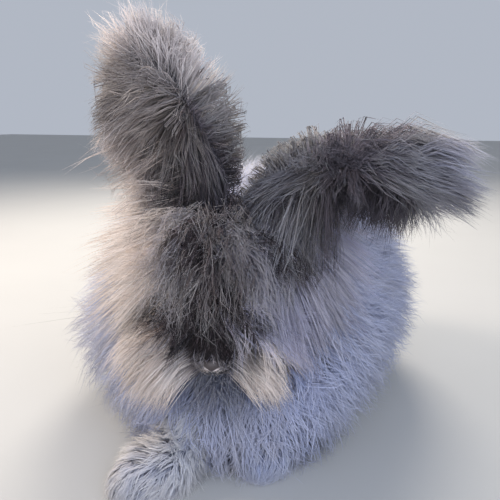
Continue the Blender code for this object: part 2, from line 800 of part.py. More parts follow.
def eye_centres():
    """The middle of each eye in the head's axes."""
    return {"eye_right": EYE_PLACE, "eye_left": mirrored(EYE_PLACE)}


def head_flesh(open_face):
    """The head's form, with short hair about the eyes and the muzzle where that is asked for."""
    spots = ()
    if open_face:
        spots = (
            (EYE_PLACE, EYE_LOOK, 0.010, 0.024),
            (mirrored(EYE_PLACE), mirrored(EYE_LOOK), 0.010, 0.024),
            ((0.012, 0.0, -0.006), (-1.0, 0.0, 0.0), 0.016, 0.034),
        )
    return Flesh(HEAD, head_axes(), spots, THROAT)


def leg_form(name, collection, flesh, share, points, swell=0.0):
    start, lean = ((-0.004, 0.0, 0.016), 0.35) if "fore" in name else ((0.010, 0.0, 0.018), 0.45)
    forward = flesh.axes[:3, 0] * lean
    obj = form(name, collection, flesh, flesh.place(start), points, share, swell=swell, lean=forward)
    cut_flat(obj, -swell)
    return obj


def eye_form(name, collection, swell=0.0):
    size = EYE_RADIUS + swell
    return ellipsoid(name, collection, head_axes(), eye_centres()[name], (size,) * 3, CORE_POINTS["eye"])


def face_pieces(collection):
    """The nose pad, the two halves of the upper lip, the chin and the eyelids."""
    axes = head_axes()
    pieces = [ellipsoid("nose", collection, axes, *NOSE_PAD), ellipsoid("chin", collection, axes, *CHIN)]
    for side in (1, -1):
        place = (LIP_PAD[0][0], LIP_PAD[0][1] * side, LIP_PAD[0][2])
        pieces.append(ellipsoid("lip", collection, axes, place, LIP_PAD[1]))
    size = EYE_RADIUS + LID_THICKNESS
    for centre in eye_centres().values():
        pieces.append(ellipsoid("lid", collection, axes, centre, (size,) * 3, CORE_POINTS["eye"]))
    return pieces


def face_openings(collection):
    """The nostrils, the line of the mouth, and the opening between each pair of eyelids."""
    axes = head_axes()
    cuts = [ellipsoid("mouth", collection, axes, *MOUTH)]
    for side in (1, -1):
        place = (NOSTRIL[0][0], NOSTRIL[0][1] * side, NOSTRIL[0][2])
        cuts.append(ellipsoid("nostril", collection, axes, place, NOSTRIL[1], 40, (1.0, 0.35 * side, 0.0)))
        look = Vector((EYE_LOOK[0], EYE_LOOK[1] * side, EYE_LOOK[2])).normalized()
        eye = Vector((EYE_PLACE[0], EYE_PLACE[1] * side, EYE_PLACE[2]))
        cuts.append(ellipsoid("gap", collection, axes, eye + look * LID_OPENING_OUT, LID_OPENING, 60, look))
    return cuts


class Rabbit:
    """The forms, their bounds and the nodes made from them."""

    def __init__(self):
        self.parts = bpy.data.collections.new("angora_rabbit")
        self.cutters = bpy.data.collections.new("cutters")
        self.cutters.hide_render = True
        for collection in (self.parts, self.cutters):
            bpy.context.scene.collection.children.link(collection)
        self.nodes = {}
        self.chance = {name: np.random.default_rng(seed) for name, seed in LOCK_SEEDS.items()}
        self.head = head_flesh(open_face=False)
        self.open_head = head_flesh(open_face=True)
        self.flesh = {"head": self.head, "neck": Flesh(NECK), "torso": Flesh(TORSO), "tail": Flesh(TAIL)}
        self.starts = {
            "head": self.head.place((0.055, 0.0, -0.004)),
            "neck": np.array(NECK[0].centre),
            "tail": np.array(TAIL[0].centre),
            "torso": np.array((0.0, -0.010, 0.072)),
        }
        for name, (place, turn) in FOOT_PLACES.items():
            self.flesh[name] = Flesh(FORELEG if "fore" in name else HINDLEG, foot_axes(place, turn))
        self.wool = {
            "ear_right": EarWool(EAR_RIGHT_WOOL, EAR_FACING["ear_right"]),
            "ear_left": EarWool(EAR_LEFT_WOOL, EAR_FACING["ear_left"]),
        }

    def bounds_of(self, name):
        """The distance to the bounds of a node's wool, or to an eye with its lids."""
        if name in self.wool:
            return self.wool[name].distance
        if name in self.flesh:
            return self.flesh[name].distance
        centre = self.head.place(eye_centres()[name])
        return lambda points: np.linalg.norm(points - centre, axis=1) - EYE_RADIUS - LID_THICKNESS

    def core_of(self, name):
        """The distance to a node's core."""
        return lambda points: self.flesh[name].distance(points, CORE_SHARE)

    def cutter(self, name, share):
        """A closed form a little larger than the node's core, or than the bounds of all its wool."""
        if "ear" in name:
            if share < FULL_SHARE:
                return ear_blade(name, self.cutters, GAP)[0]
            return ear_bounds(self.cutters, self.wool[name], GAP)
        if "eye" in name:
            return eye_form(name, self.cutters, GAP)
        if "leg" in name:
            share = share if "fore" in name else FULL_SHARE
            points = CORE_POINTS[name.split("_")[0]]
            return leg_form(name, self.cutters, self.flesh[name], share, points, COARSE_SWELL)
        flesh, start, points = self.flesh[name], self.starts[name], BOUND_POINTS[name]
        return form("bounds", self.cutters, flesh, start, points, share, swell=COARSE_SWELL)

    def settle(self, name, locks):
        """Clears a core of the cores over it and its locks of their neighbours, and fuses both into one surface."""
        node = self.nodes[name]
        boolean(node, [self.cutter(other, CORE_SHARE) for other in OVER[name]], "DIFFERENCE")
        boolean(locks[0], locks[1:], "UNION")
        around = [self.cutter(other, FULL_SHARE) for other in OVER[name]]
        around += [self.cutter(other, CORE_SHARE) for other in UNDER[name]]
        boolean(locks[0], around, "DIFFERENCE")
        boolean(node, locks[:1], "UNION")
        keep_largest(node)

    def coat(self, name, roots, size_at, lie, slope=None, sunk=ROOT_SUNK, rooted=True):
        """Grows a coat of locks from places on a node's core and fuses it on."""
        over = [self.bounds_of(other) for other in OVER[name]]
        under = [self.core_of(other) for other in UNDER[name]]
        others = over + under
        if rooted:
            roots = roots[far_from(roots, over, ROOT_UNDER_WOOL) & far_from(roots, under, ROOT_OVER_CORE)]
        own = None if name == "torso" else self.bounds_of(name)
        sizes = [size_at(root) for root in roots]
        slope = slope or self.flesh[name].slope
        chance = self.chance[name]
        locks = grow_locks(name, self.cutters, roots, sizes, sunk, slope, lie, own, others, chance)
        self.settle(name, locks)

    def places(self, name, flesh=None, start=None):
        """Evenly spread places on a node's core."""
        flesh = flesh or self.flesh[name]
        start = self.starts[name] if start is None else start
        return root_places(flesh, start, LOCK_COUNTS[name], self.chance[name])

    def core(self, name, flesh=None, floor=None, lean=None):
        flesh = flesh or self.flesh[name]
        points = CORE_POINTS[name]
        self.nodes[name] = form(
            name, self.parts, flesh, self.starts[name], points, CORE_SHARE, floor, lean=lean
        )

    def add_eyes(self):
        for name in eye_centres():
            self.nodes[name] = eye_form(name, self.parts)

    def add_legs(self):
        for name in FOOT_PLACES:
            fore = "fore" in name
            leg = self.flesh[name]
            share = CORE_SHARE if fore else FULL_SHARE
            points = CORE_POINTS[name.split("_")[0]]
            self.nodes[name] = leg_form(name, self.parts, leg, share, points)
            if fore:
                roots = self.places(name, leg, leg.place((-0.004, 0.0, 0.016)))
                along = leg.local(roots)[:, 0]
                roots = roots[(roots[:, 2] > 0.006) & (along > -0.012) & (along < 0.026)]
                self.coat(name, roots, lambda point: FEATHER, foot_lie_of(leg))

    def add_ears(self):
        for name, wool in self.wool.items():
            self.nodes[name], rings = ear_blade(name, self.parts)
            count = LOCK_COUNTS[name]
            step = (np.arange(count) + 0.5) / count
            ring = np.clip(1 + step**0.8 * (len(rings) - 1.2), 1, len(rings) - 1.001)
            low = ring.astype(int)
            part = (ring - low)[:, None]
            around = np.arange(count) * GOLDEN_TURN / (2 * math.pi) % 1.0
            turn = (around * (CUP_POINTS + 2)).astype(int) - 1
            high = np.minimum(low + 1, len(rings) - 1)
            roots = rings[low, turn] * (1 - part) + rings[high, turn] * part
            lie, slope = ear_lie_of(wool), wool.slope
            self.coat(name, roots, lambda point: TASSEL, lie, slope, BLADE_SUNK, rooted=False)

    def add_head(self):
        lean = self.head.axes[:3, 0] * -0.30
        self.core("head", self.open_head, lean=lean)
        boolean(self.nodes["head"], face_pieces(self.cutters), "UNION")
        boolean(self.nodes["head"], face_openings(self.cutters), "DIFFERENCE")
        roots = self.places("head", self.open_head)
        local = self.head.local(roots)
        keep = np.linalg.norm(local, axis=1) > NOSE_CLEAR
        keep &= (local[:, 0] > BRIDGE_BACK) | (np.abs(local[:, 1]) > BRIDGE_HALF) | (local[:, 2] < 0)
        for centre in eye_centres().values():
            keep &= np.linalg.norm(local - np.array(centre), axis=1) > EYE_CLEAR
        self.coat("head", roots[keep], head_size_of(self.head), head_lie_of(self.head))

    def add_neck(self):
        self.core("neck")
        self.coat("neck", self.places("neck"), lambda point: RUFF, head_lie_of(self.head))

    def add_tail(self):
        self.core("tail")
        self.coat("tail", self.places("tail"), lambda point: BRUSH, tail_lie)

    def add_torso(self):
        torso = self.flesh["torso"]
        self.core("torso", floor=CORE_FLOOR)
        roots = self.places("torso")
        roots = roots[(roots[:, 2] > CORE_FLOOR + 0.005) & (torso.slope(roots)[:, 2] > -0.92)]
        self.coat("torso", roots, body_size, body_lie)

    def finish(self):
        """Paints the nodes and moves the rabbit so that the middle of its bounds stands over the origin."""
        for name, obj in self.nodes.items():
            paint(obj, COLOURS[name], EYE_ROUGHNESS if "eye" in name else WOOL_ROUGHNESS)
        points = np.vstack([points_of(obj) for obj in self.nodes.values()])
        middle = (points.min(axis=0) + points.max(axis=0)) / 2
        for obj in self.nodes.values():
            obj.data.transform(Matrix.Translation((-middle[0], -middle[1], 0.0)))


def paint(obj, colour, roughness):
    material = bpy.data.materials.new(obj.name + "_material")
    material.use_nodes = True
    shader = material.node_tree.nodes["Principled BSDF"]
    shader.inputs["Base Color"].default_value = (*colour, 1.0)
    shader.inputs["Roughness"].default_value = roughness
    shader.inputs["Metallic"].default_value = 0.0
    obj.data.materials.clear()
    obj.data.materials.append(material)


def main():
    clear_scene()
    rabbit = Rabbit()
    rabbit.add_eyes()
    rabbit.add_legs()
    rabbit.add_ears()
    rabbit.add_head()
    rabbit.add_neck()
    rabbit.add_tail()
    rabbit.add_torso()
    rabbit.finish()


main()
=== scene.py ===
"""Looks of a life-size still angora rabbit, laid out as an add-on that is run as a script.

Metres, +Z up, in the frame of the solid parts: the rabbit faces -Y and its left side is +X. One skin
stands for the solid body, and wool of thin closed tufts grows from it. The forms are the solid parts' own
lobes: each is an ellipsoid of flesh with a depth of wool over it, and a tuft rises from the skin to the
wool's outer bounds while it travels along the lie of the coat.
"""

import math

import bpy
import numpy as np
from mathutils import Matrix, Vector


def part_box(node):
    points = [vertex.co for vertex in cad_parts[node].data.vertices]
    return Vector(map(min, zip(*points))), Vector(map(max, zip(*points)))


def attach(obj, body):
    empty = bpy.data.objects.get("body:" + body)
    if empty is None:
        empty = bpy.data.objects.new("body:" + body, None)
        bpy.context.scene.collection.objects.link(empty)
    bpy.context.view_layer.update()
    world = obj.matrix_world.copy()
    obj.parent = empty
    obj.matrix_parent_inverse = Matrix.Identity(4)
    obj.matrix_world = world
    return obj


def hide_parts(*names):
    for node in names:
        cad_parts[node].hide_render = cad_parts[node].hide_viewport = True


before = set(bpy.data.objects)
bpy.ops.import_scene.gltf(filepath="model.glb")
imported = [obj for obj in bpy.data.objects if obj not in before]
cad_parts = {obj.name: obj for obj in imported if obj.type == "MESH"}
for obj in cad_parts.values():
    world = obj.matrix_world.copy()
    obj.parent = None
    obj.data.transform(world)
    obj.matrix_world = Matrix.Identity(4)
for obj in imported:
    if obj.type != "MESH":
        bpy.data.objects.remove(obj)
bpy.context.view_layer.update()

bl_info = {
    "name": "Angora rabbit figure",
    "version": (1, 0, 0),
    "blender": (4, 5, 0),
    "location": "3D View > Sidebar > Rabbit",
    "description": "Builds the skin, wool, eyes, nose, claws and stage of a sitting angora rabbit",
    "category": "Object",
}

# The start of every random draw, and the least length to divide by.
SEED = 11
TINY = 1e-9
DOWN = np.array((0.0, 0.0, -1.0))
FULL_TURN = 2.0 * math.pi
GOLDEN_TURN = math.pi * (3.0 - math.sqrt(5.0))
# How high the wool stays over the floor, and how deep a tuft's root sits in the skin.
FLOOR = 0.0012
ROOT_DEPTH = 0.0008
# Where the skin lies between the flesh, 0, and the tips of the wool, 1.
SKIN_SHARES = {"torso": 0.30, "neck": 0.20, "tail": 0.20, "head": 0.10}
# How softly two lobes run into each other, and how deep one part's wool may lie in another's.
BLEND = 0.012
OVERLAP = 0.006
# The step over which a slope is taken, and how a ray is searched for a surface.
SLOPE_STEP = 0.0005
RAY_LENGTH = 0.4
HALVINGS = 20
# How many points are compared with all others at once, to spare memory.
AT_ONCE = 4000

# The head's place and turn, as in the solid parts: to its left, tipped nose-down and rolled.
NOSE_TIP = (0.029, -0.1725, 0.094)
HEAD_YAW = math.radians(15.0)
HEAD_PITCH = math.radians(47.0)
HEAD_ROLL = math.radians(5.0)
EYE_RADIUS = 0.0088
CORNEA_RISE = 0.055
GLOBE_SHARE = 0.965
EYE_PLACE = (0.050, 0.0165, 0.0075)
EYE_LOOK = (-0.35, 0.90, 0.25)
EYE_CENTRES = [(EYE_PLACE[0], side * EYE_PLACE[1], EYE_PLACE[2]) for side in (1, -1)]
EYE_LOOKS = [(EYE_LOOK[0], side * EYE_LOOK[1], EYE_LOOK[2]) for side in (1, -1)]
LID_THICKNESS = 0.0019

# Lobes: centre, half sizes and depth of wool.
TORSO = (
    ((0.0, 0.035, 0.084), (0.090, 0.090, 0.070), 0.060),
    ((-0.003, -0.048, 0.076), (0.086, 0.066, 0.058), 0.057),
    ((0.014, -0.100, 0.037), (0.058, 0.036, 0.029), 0.044),
)
NECK = (((0.011, -0.066, 0.139), (0.045, 0.048, 0.044), 0.027),)
TAIL = (((0.0, 0.140, 0.068), (0.018, 0.026, 0.022), 0.036),)
HEAD = (
    ((0.018, 0.0, -0.004), (0.021, 0.0165, 0.016), 0.003),
    ((0.044, 0.0, 0.001), (0.032, 0.0200, 0.021), 0.012),
    ((0.072, 0.0, 0.002), (0.033, 0.0260, 0.025), 0.036),
    ((0.054, 0.019, -0.022), (0.024, 0.0160, 0.018), 0.056),
    ((0.054, -0.019, -0.022), (0.024, 0.0160, 0.018), 0.056),
)
# A point and a direction where the head's wool ends under the throat, short of this share of its depth.
THROAT = ((0.018, -0.148, 0.050), (-0.183, 0.683, -0.707))
THROAT_SHARE = 0.42
# The wool left on the short-haired spots: the place, the way it looks and where its wool thins out.
SHORT_HAIR = 0.04
SHORT_SPOTS = (
    *((centre, look, 0.010, 0.024) for centre, look in zip(EYE_CENTRES, EYE_LOOKS)),
    ((0.012, 0.0, -0.006), (-1.0, 0.0, 0.0), 0.016, 0.034),
)
# The feet's lobes, the toes after the first; each foot's place and its turn outwards.
FORELEG = (
    ((0.006, 0.0, 0.010), (0.021, 0.0140, 0.0125), 0.019),
    ((0.021, -0.0100, 0.0075), (0.011, 0.0048, 0.0078), 0.008),
    ((0.026, -0.0034, 0.0080), (0.012, 0.0048, 0.0082), 0.008),
    ((0.026, 0.0034, 0.0080), (0.012, 0.0048, 0.0082), 0.008),
    ((0.021, 0.0100, 0.0075), (0.011, 0.0048, 0.0078), 0.008),
    ((-0.020, 0.0, 0.026), (0.015, 0.0130, 0.0230), 0.004),
)
HINDLEG = (
    ((0.020, 0.0, 0.010), (0.060, 0.0160, 0.0130), 0.004),
    ((0.076, -0.0085, 0.0080), (0.016, 0.0056, 0.0090), 0.003),
    ((0.082, 0.0, 0.0085), (0.017, 0.0056, 0.0095), 0.003),
    ((0.076, 0.0085, 0.0080), (0.016, 0.0056, 0.0090), 0.003),
    ((0.000, 0.0, 0.036), (0.050, 0.0240, 0.0300), 0.004),
)
FOOT_PLACES = {
    "foreleg_right": ((-0.007, -0.174, 0.0), math.radians(-26.0)),
    "foreleg_left": ((0.052, -0.116, 0.0), math.radians(6.0)),
    "hindleg_right": ((-0.070, 0.030, 0.0), math.radians(-7.0)),
    "hindleg_left": ((0.070, 0.030, 0.0), math.radians(7.0)),
}
CLAW_LENGTH = 0.010
CLAW_RADIUS = 0.0018
# The nose, lips, chin, mouth and lids: a centre and half sizes in the head's axes.
NOSE_LEATHER = np.array((1.14, 0.80, 1.02))
NOSE_PAD = ((0.0005, 0.0, 0.0015), (0.0040, 0.0078, 0.0056))
LIP_PAD = ((0.0075, 0.0056, -0.0085), (0.0095, 0.0066, 0.0068))
CHIN = ((0.0170, 0.0, -0.0175), (0.0110, 0.0080, 0.0058))
MOUTH = ((0.0120, 0.0, -0.0148), (0.0150, 0.0125, 0.0009))
LID_OPENING = (0.0130, 0.0072, 0.0054)
LID_OPENING_OUT = 0.0095
EYE_CLEARANCE = 0.0003
# How far the wool's roots stay from the middle of an eye's front.
LID_CLEARING = 0.0075

# Each ear from its root. wool: the middle of its wool and its reach; blade: the blade's back and half its
# width; facing: where the cup opens; fold: the line that the wool parts along; pale_way and pale_reach: where
# its fringe turns pale. crests: the longest wool, with the line that it leaves from, the angles that it fans
# out between, its lengths, how it droops, how far past the wool's bounds it may hang, and how far it leans
# to the front.
EARS = {
    "ear_right": {
        "wool": (
            (0.0065, -0.1230, 0.160, 0.010),
            (0.0030, -0.1220, 0.180, 0.017),
            (0.0000, -0.1220, 0.205, 0.027),
            (-0.0060, -0.1230, 0.235, 0.041),
            (-0.0180, -0.1290, 0.264, 0.053),
            (-0.0330, -0.1310, 0.284, 0.047),
            (-0.0430, -0.1310, 0.302, 0.035),
        ),
        "blade": (
            (0.0060, -0.1220, 0.164, 0.0085),
            (0.0030, -0.1200, 0.180, 0.0130),
            (-0.0010, -0.1190, 0.205, 0.0190),
            (-0.0090, -0.1210, 0.235, 0.0225),
            (-0.0200, -0.1270, 0.262, 0.0200),
            (-0.0290, -0.1290, 0.281, 0.0130),
            (-0.0350, -0.1290, 0.294, 0.0050),
        ),
        "facing": (-0.15, -1.0, 0.1),
        "pale_way": (-0.25, 0.0, 0.97),
        "pale_reach": (0.012, 0.034),
        "fold": ((-0.0345, -0.1320, 0.3000), (-0.0060, -0.1320, 0.2720)),
        "droop": 0.15,
        "crest_guides": 480,
        "crests": (
            {
                "line": ((-0.0330, -0.1300, 0.2900), (-0.0150, -0.1280, 0.2620)),
                "angles": (55.0, 200.0),
                "lengths": (0.034, 0.058),
                "droop": 0.10,
                "past": 0.004,
                "front": -0.25,
            },
            {
                "line": ((-0.0100, -0.1220, 0.2400), (0.0000, -0.1200, 0.1880)),
                "angles": (180.0, 242.0),
                "lengths": (0.054, 0.092),
                "droop": 0.42,
                "past": 0.056,
                "front": -0.05,
            },
        ),
    },
    "ear_left": {
        "wool": (
            (0.0290, -0.1170, 0.164, 0.010),
            (0.0390, -0.1140, 0.184, 0.016),
            (0.0560, -0.1110, 0.207, 0.025),
            (0.0820, -0.1090, 0.216, 0.037),
            (0.1110, -0.1090, 0.217, 0.044),
            (0.1420, -0.1080, 0.216, 0.042),
            (0.1680, -0.1045, 0.2155, 0.031),
        ),
        "blade": (
            (0.0300, -0.1160, 0.168, 0.0085),
            (0.0390, -0.1120, 0.187, 0.0130),
            (0.0560, -0.1090, 0.211, 0.0180),
            (0.0830, -0.1070, 0.227, 0.0225),
            (0.1100, -0.1070, 0.230, 0.0205),
            (0.1310, -0.1060, 0.228, 0.0130),
            (0.1440, -0.1050, 0.225, 0.0050),
        ),
        "facing": (0.1, -0.35, -1.0),
        "pale_way": (1.0, 0.0, 0.1),
        "pale_reach": (0.030, 0.080),
        "fold": ((0.1070, -0.1130, 0.2530), (0.1100, -0.1180, 0.2190)),
        "droop": 0.30,
        "crest_guides": 330,
        "crests": (
            {
                "line": ((0.0850, -0.1090, 0.2200), (0.1350, -0.1080, 0.2240)),
                "angles": (-150.0, -30.0),
                "lengths": (0.038, 0.058),
                "droop": 0.40,
                "past": 0.021,
                "front": -0.25,
            },
            {
                "line": ((0.0450, -0.1120, 0.1960), (0.0850, -0.1090, 0.2200)),
                "angles": (-120.0, -65.0),
                "lengths": (0.065, 0.110),
                "droop": 0.70,
                "past": 0.090,
                "front": -0.80,
            },
        ),
    },
}
EAR_WOOL_FLATNESS = 0.85
CUP_ANGLE = math.radians(62.0)

# The camera in the forms' own frame, its heading, its dip and its field of view.
CAMERA_PLACE = (0.1671, -0.4766, 0.258)
CAMERA_AZIMUTH = math.radians(20.0)
CAMERA_DIP = math.radians(14.0)
CAMERA_ANGLE = 2.0 * math.atan(250.0 / 536.0)
# The floor of the stage, half its width and just under the rabbit, and the light of the sky.
STAGE_REACH = 6.0
STAGE_LEVEL = -0.0002
SKY = (0.74, 0.80, 0.92, 1.0)
SKY_STRENGTH = 0.60
# The lights: place, power, width and colour.
LIGHTS = (
    ("key", (-1.15, -0.15, 0.95), 16.0, 0.5, (1.0, 0.86, 0.72)),
    ("rim", (-0.35, 1.1, 1.2), 26.0, 0.7, (1.0, 0.92, 0.82)),
    ("fill", (0.9, -1.2, 0.9), 20.0, 1.4, (0.76, 0.84, 1.0)),
    ("low", (0.15, -1.3, 0.22), 6.0, 0.9, (0.95, 0.95, 1.0)),
)


# Shapes and distances


def unit(vectors):
    """The vectors at length 1."""
    return vectors / np.maximum(np.linalg.norm(vectors, axis=-1, keepdims=True), TINY)


def eased(values, start, end):
    """0 up to the start and 1 from the end on, with a smooth rise between."""
    part = np.clip((values - start) / (end - start), 0.0, 1.0)
    return part * part * (3.0 - 2.0 * part)


def slope_of(distance, points):
    """The direction in which a distance grows fastest at each point."""
    steps = np.eye(3) * SLOPE_STEP
    return unit(np.stack([distance(points + s) - distance(points - s) for s in steps], axis=1))


def level(vectors, normals):
    """The vectors laid down along the surface."""
    return unit(vectors - (vectors * normals).sum(axis=1, keepdims=True) * normals)


def even_directions(count):
    """Directions spread evenly over a ball on a spiral that turns by the golden angle."""
    step = np.arange(count) + 0.5
    height = 1.0 - 2.0 * step / count
    ring = np.sqrt(1.0 - height**2)
    turn = step * GOLDEN_TURN
    return np.stack([ring * np.cos(turn), ring * np.sin(turn), height], axis=1)


def head_axes():
    """The head's axes, back, right and up from the nose tip."""
    level_back = Vector((-math.sin(HEAD_YAW), math.cos(HEAD_YAW), 0.0))
    back = level_back * math.cos(HEAD_PITCH) + Vector((0, 0, math.sin(HEAD_PITCH)))
    right = Vector((-math.cos(HEAD_YAW), -math.sin(HEAD_YAW), 0.0))
    right.rotate(Matrix.Rotation(HEAD_ROLL, 3, back))
    turn = Matrix((back, right, back.cross(right))).transposed()
    return Matrix.Translation(NOSE_TIP) @ turn.to_4x4()


def foot_axes(place, turn):
    """A foot's axes, forward, left and up from its heel side."""
    forward = Vector((math.sin(turn), -math.cos(turn), 0.0))
    left = Vector((math.cos(turn), math.sin(turn), 0.0))
    axes = Matrix((forward, left, Vector((0, 0, 1)))).transposed()
    return Matrix.Translation(place) @ axes.to_4x4()


class Flesh:
    """A body part of lobes in its own axes, from the skin at share 0 of its wool to the tips at share 1."""

    def __init__(self, lobes, start, axes=None, spots=(), wool_end=None):
        self.lobes = lobes
        self.axes = np.array(axes or Matrix.Identity(4))
        self.start = self.place(start)
        self.spots = spots
        self.wool_end = wool_end

    def local(self, points):
        return (points - self.axes[:3, 3]) @ self.axes[:3, :3]

    def place(self, local):
        return self.axes[:3, :3] @ np.array(local) + self.axes[:3, 3]

    def place_all(self, local):
        return local @ self.axes[:3, :3].T + self.axes[:3, 3]

    def wool_left(self, local):
        """The share of the wool left at each point: little along the look of a spot of short hair."""
        left = np.ones(len(local))
        for spot, look, inner, outer in self.spots:
            look = unit(np.array(look))
            offset = local - np.array(spot)
            ahead = np.maximum(offset @ look, 0.0)
            away = np.linalg.norm(offset - ahead[:, None] * look, axis=1)
            left = np.minimum(left, SHORT_HAIR + (1.0 - SHORT_HAIR) * eased(away, inner, outer))
        return left

    def distance(self, points, share=1.0):
        """How far each point lies outside the surface at this share of the wool."""
        local = self.local(points)
        wool = share * self.wool_left(local) if self.spots else np.full(len(local), share)
        found = None
        for centre, radii, depth in self.lobes:
            half = np.array(radii) + wool[:, None] * depth
            offset = local - np.array(centre)
            near = np.linalg.norm(offset / half, axis=1)
            steep = np.linalg.norm(offset / half**2, axis=1)
            away = near * (near - 1.0) / np.maximum(steep, TINY)
            if found is None:
                found = away
                continue
            mix = np.clip(0.5 + 0.5 * (away - found) / BLEND, 0.0, 1.0)
            found = away + (found - away) * mix - BLEND * mix * (1.0 - mix)
        if self.wool_end is not None and share > 0.5:
            point, outward = (np.array(item) for item in self.wool_end)
            core = self.distance(points, THROAT_SHARE)
            found = np.minimum(np.maximum(found, (points - point) @ outward), core)
        return found

    def slope(self, points):
        return slope_of(self.distance, points)

    def reach(self, directions, share):
        """Where rays from the start meet the surface at this share of the wool."""
        low = np.zeros(len(directions))
        high = np.full(len(directions), RAY_LENGTH)
        for _ in range(HALVINGS):
            middle = (low + high) / 2.0
            inside = self.distance(self.start + directions * middle[:, None], share) < 0.0
            low = np.where(inside, middle, low)
            high = np.where(inside, high, middle)
        return self.start + directions * low[:, None]


def smooth_path(stations, count):
    """A soft curve through the stations, points and sizes alike, at evenly spaced steps."""
    rows = np.array(stations)
    rows = np.vstack([2 * rows[0] - rows[1], rows, 2 * rows[-1] - rows[-2]])
    spans = len(rows) - 3
    where = np.linspace(0.0, spans, count)
    index = np.minimum(where.astype(int), spans - 1)
    part = (where - index)[:, None]
    a, b, c, d = (rows[index + k] for k in range(4))
    square = (2 * a - 5 * b + 4 * c - d) * part**2
    return 0.5 * (2 * b + (c - a) * part + square + (3 * b - a - 3 * c + d) * part**3)


def frames_along(line, facing):
    """The direction along the line, to its side and to its facing side at each of its points."""
    along = unit(np.gradient(line, axis=0))
    aside = unit(np.cross(along, np.broadcast_to(np.array(facing, float), along.shape)))
    return along, aside, np.cross(aside, along)


class EarWool:
    """The bounds of an ear's wool: an oval tube of changing reach along the ear."""

    def __init__(self, ear):
        rows = smooth_path(ear["wool"], 60)
        self.line, self.sizes = rows[:, :3], rows[:, 3]
        self.along, self.aside, self.front = frames_along(self.line, ear["facing"])
        self.fold = np.array(ear["fold"])

    def parts(self, points):
        """Each point's nearest step of the middle line, and its offset to the side, front and along."""
        step = np.empty(len(points), int)
        for first in range(0, len(points), AT_ONCE):
            some = points[first : first + AT_ONCE]
            gap = ((some[:, None] - self.line[None]) ** 2).sum(axis=2)
            step[first : first + AT_ONCE] = gap.argmin(axis=1)
        offset = points - self.line[step]
        side = (offset * self.aside[step]).sum(axis=1)
        front = (offset * self.front[step]).sum(axis=1) / EAR_WOOL_FLATNESS
        return step, np.stack([side, front, (offset * self.along[step]).sum(axis=1)], axis=1)

    def distance(self, points):
        step, parts = self.parts(points)
        return np.linalg.norm(parts, axis=1) - self.sizes[step]

    def held_within(self, limit):
        """A rule that draws points back to this distance from the bounds of the wool."""

        def held(points):
            far = np.maximum(self.distance(points) - limit, 0.0)
            return points - slope_of(self.distance, points) * far[:, None]

        return held

    def from_fold(self, points):
        """Each point's offset from the nearest place on the fold that the wool parts along."""
        start, run = self.fold[0], self.fold[1] - self.fold[0]
        part = np.clip((points - start) @ run / (run @ run), 0.0, 1.0)
        return points - start - part[:, None] * run


# Meshes


def new_piece(name, points, faces, material, smooth=True):
    """A mesh object from arrays of points and of triangles or quads."""
    faces = np.asarray(faces, np.int32)
    mesh = bpy.data.meshes.new(name)
    mesh.vertices.add(len(points))
    mesh.vertices.foreach_set("co", np.ascontiguousarray(points, np.float32).ravel())
    sides = faces.shape[1]
    mesh.loops.add(faces.size)
    mesh.loops.foreach_set("vertex_index", faces.ravel())
    mesh.polygons.add(len(faces))
    mesh.polygons.foreach_set("loop_start", np.arange(0, faces.size, sides, dtype=np.int32))
    mesh.polygons.foreach_set("use_smooth", np.full(len(faces), smooth))
    mesh.update(calc_edges=True)
    mesh.validate()
    obj = bpy.data.objects.new(name, mesh)
    bpy.context.scene.collection.objects.link(obj)
    if material is not None:
        mesh.materials.append(material)
    return obj


def add_attribute(obj, name, values):
    attribute = obj.data.attributes.new(name, "FLOAT", "POINT")
    attribute.data.foreach_set("value", np.ascontiguousarray(values, np.float32).ravel())


def closed_grid(rings, start, end):
    """Points and triangles of a closed skin over rings of equally many points, with a point at each end."""
    rows, count = rings.shape[:2]
    points = np.vstack([rings.reshape(-1, 3), start, end])
    k = np.arange(count)
    following = (k + 1) % count
    first, last = rows * count, rows * count + 1
    faces = [np.stack([np.full(count, first), following, k], axis=1)]
    top = (rows - 1) * count
    faces.append(np.stack([top + k, top + following, np.full(count, last)], axis=1))
    for ring in range(rows - 1):
        low, high = ring * count, (ring + 1) * count
        faces.append(np.stack([low + k, low + following, high + following], axis=1))
        faces.append(np.stack([low + k, high + following, high + k], axis=1))
    return points, np.concatenate(faces)


def ball_grid(rows, columns):
    """Rings of unit directions from pole to pole: latitude down the rows and longitude along each."""
    polar = np.linspace(0.0, math.pi, rows + 2)[1:-1]
    turn = np.linspace(0.0, FULL_TURN, columns, endpoint=False)
    ring = np.sin(polar)[:, None]
    height = np.repeat(np.cos(polar)[:, None], columns, axis=1)
    return np.stack([ring * np.cos(turn), ring * np.sin(turn), height], axis=2)


def ellipsoid_arrays(axes, centre, radii, look=None, rows=16, columns=24):
    """Points and triangles of a stretched ball, its first axis turned to the look."""
    rings = ball_grid(rows, columns)
    turn = Matrix.Identity(4)
    if look is not None:
        turn = Vector(look).to_track_quat("X", "Z").to_matrix().to_4x4()
    matrix = np.array(Matrix(axes) @ Matrix.Translation(centre) @ turn @ Matrix.Diagonal((*radii, 1.0)))
    points, faces = closed_grid(rings, np.array((0.0, 0.0, 1.0)), np.array((0.0, 0.0, -1.0)))
    return points @ matrix[:3, :3].T + matrix[:3, 3], faces


def flesh_arrays(flesh, share, rows=70, columns=100):
    """Points and triangles of a form at a share of its wool, by a ball of rays from its start."""
    rings = ball_grid(rows, columns)
    points = flesh.reach(rings.reshape(-1, 3), share).reshape(rings.shape)
    start, end = flesh.reach(np.array(((0.0, 0.0, 1.0), (0.0, 0.0, -1.0))), share)
    return closed_grid(points, start, end)


def outward(points, faces):
    """The faces turned so that the closed surface holds a positive space."""
    a, b, c = (points[faces[:, k]] for k in range(3))
    return faces if (a * np.cross(b, c)).sum() > 0 else faces[:, ::-1]


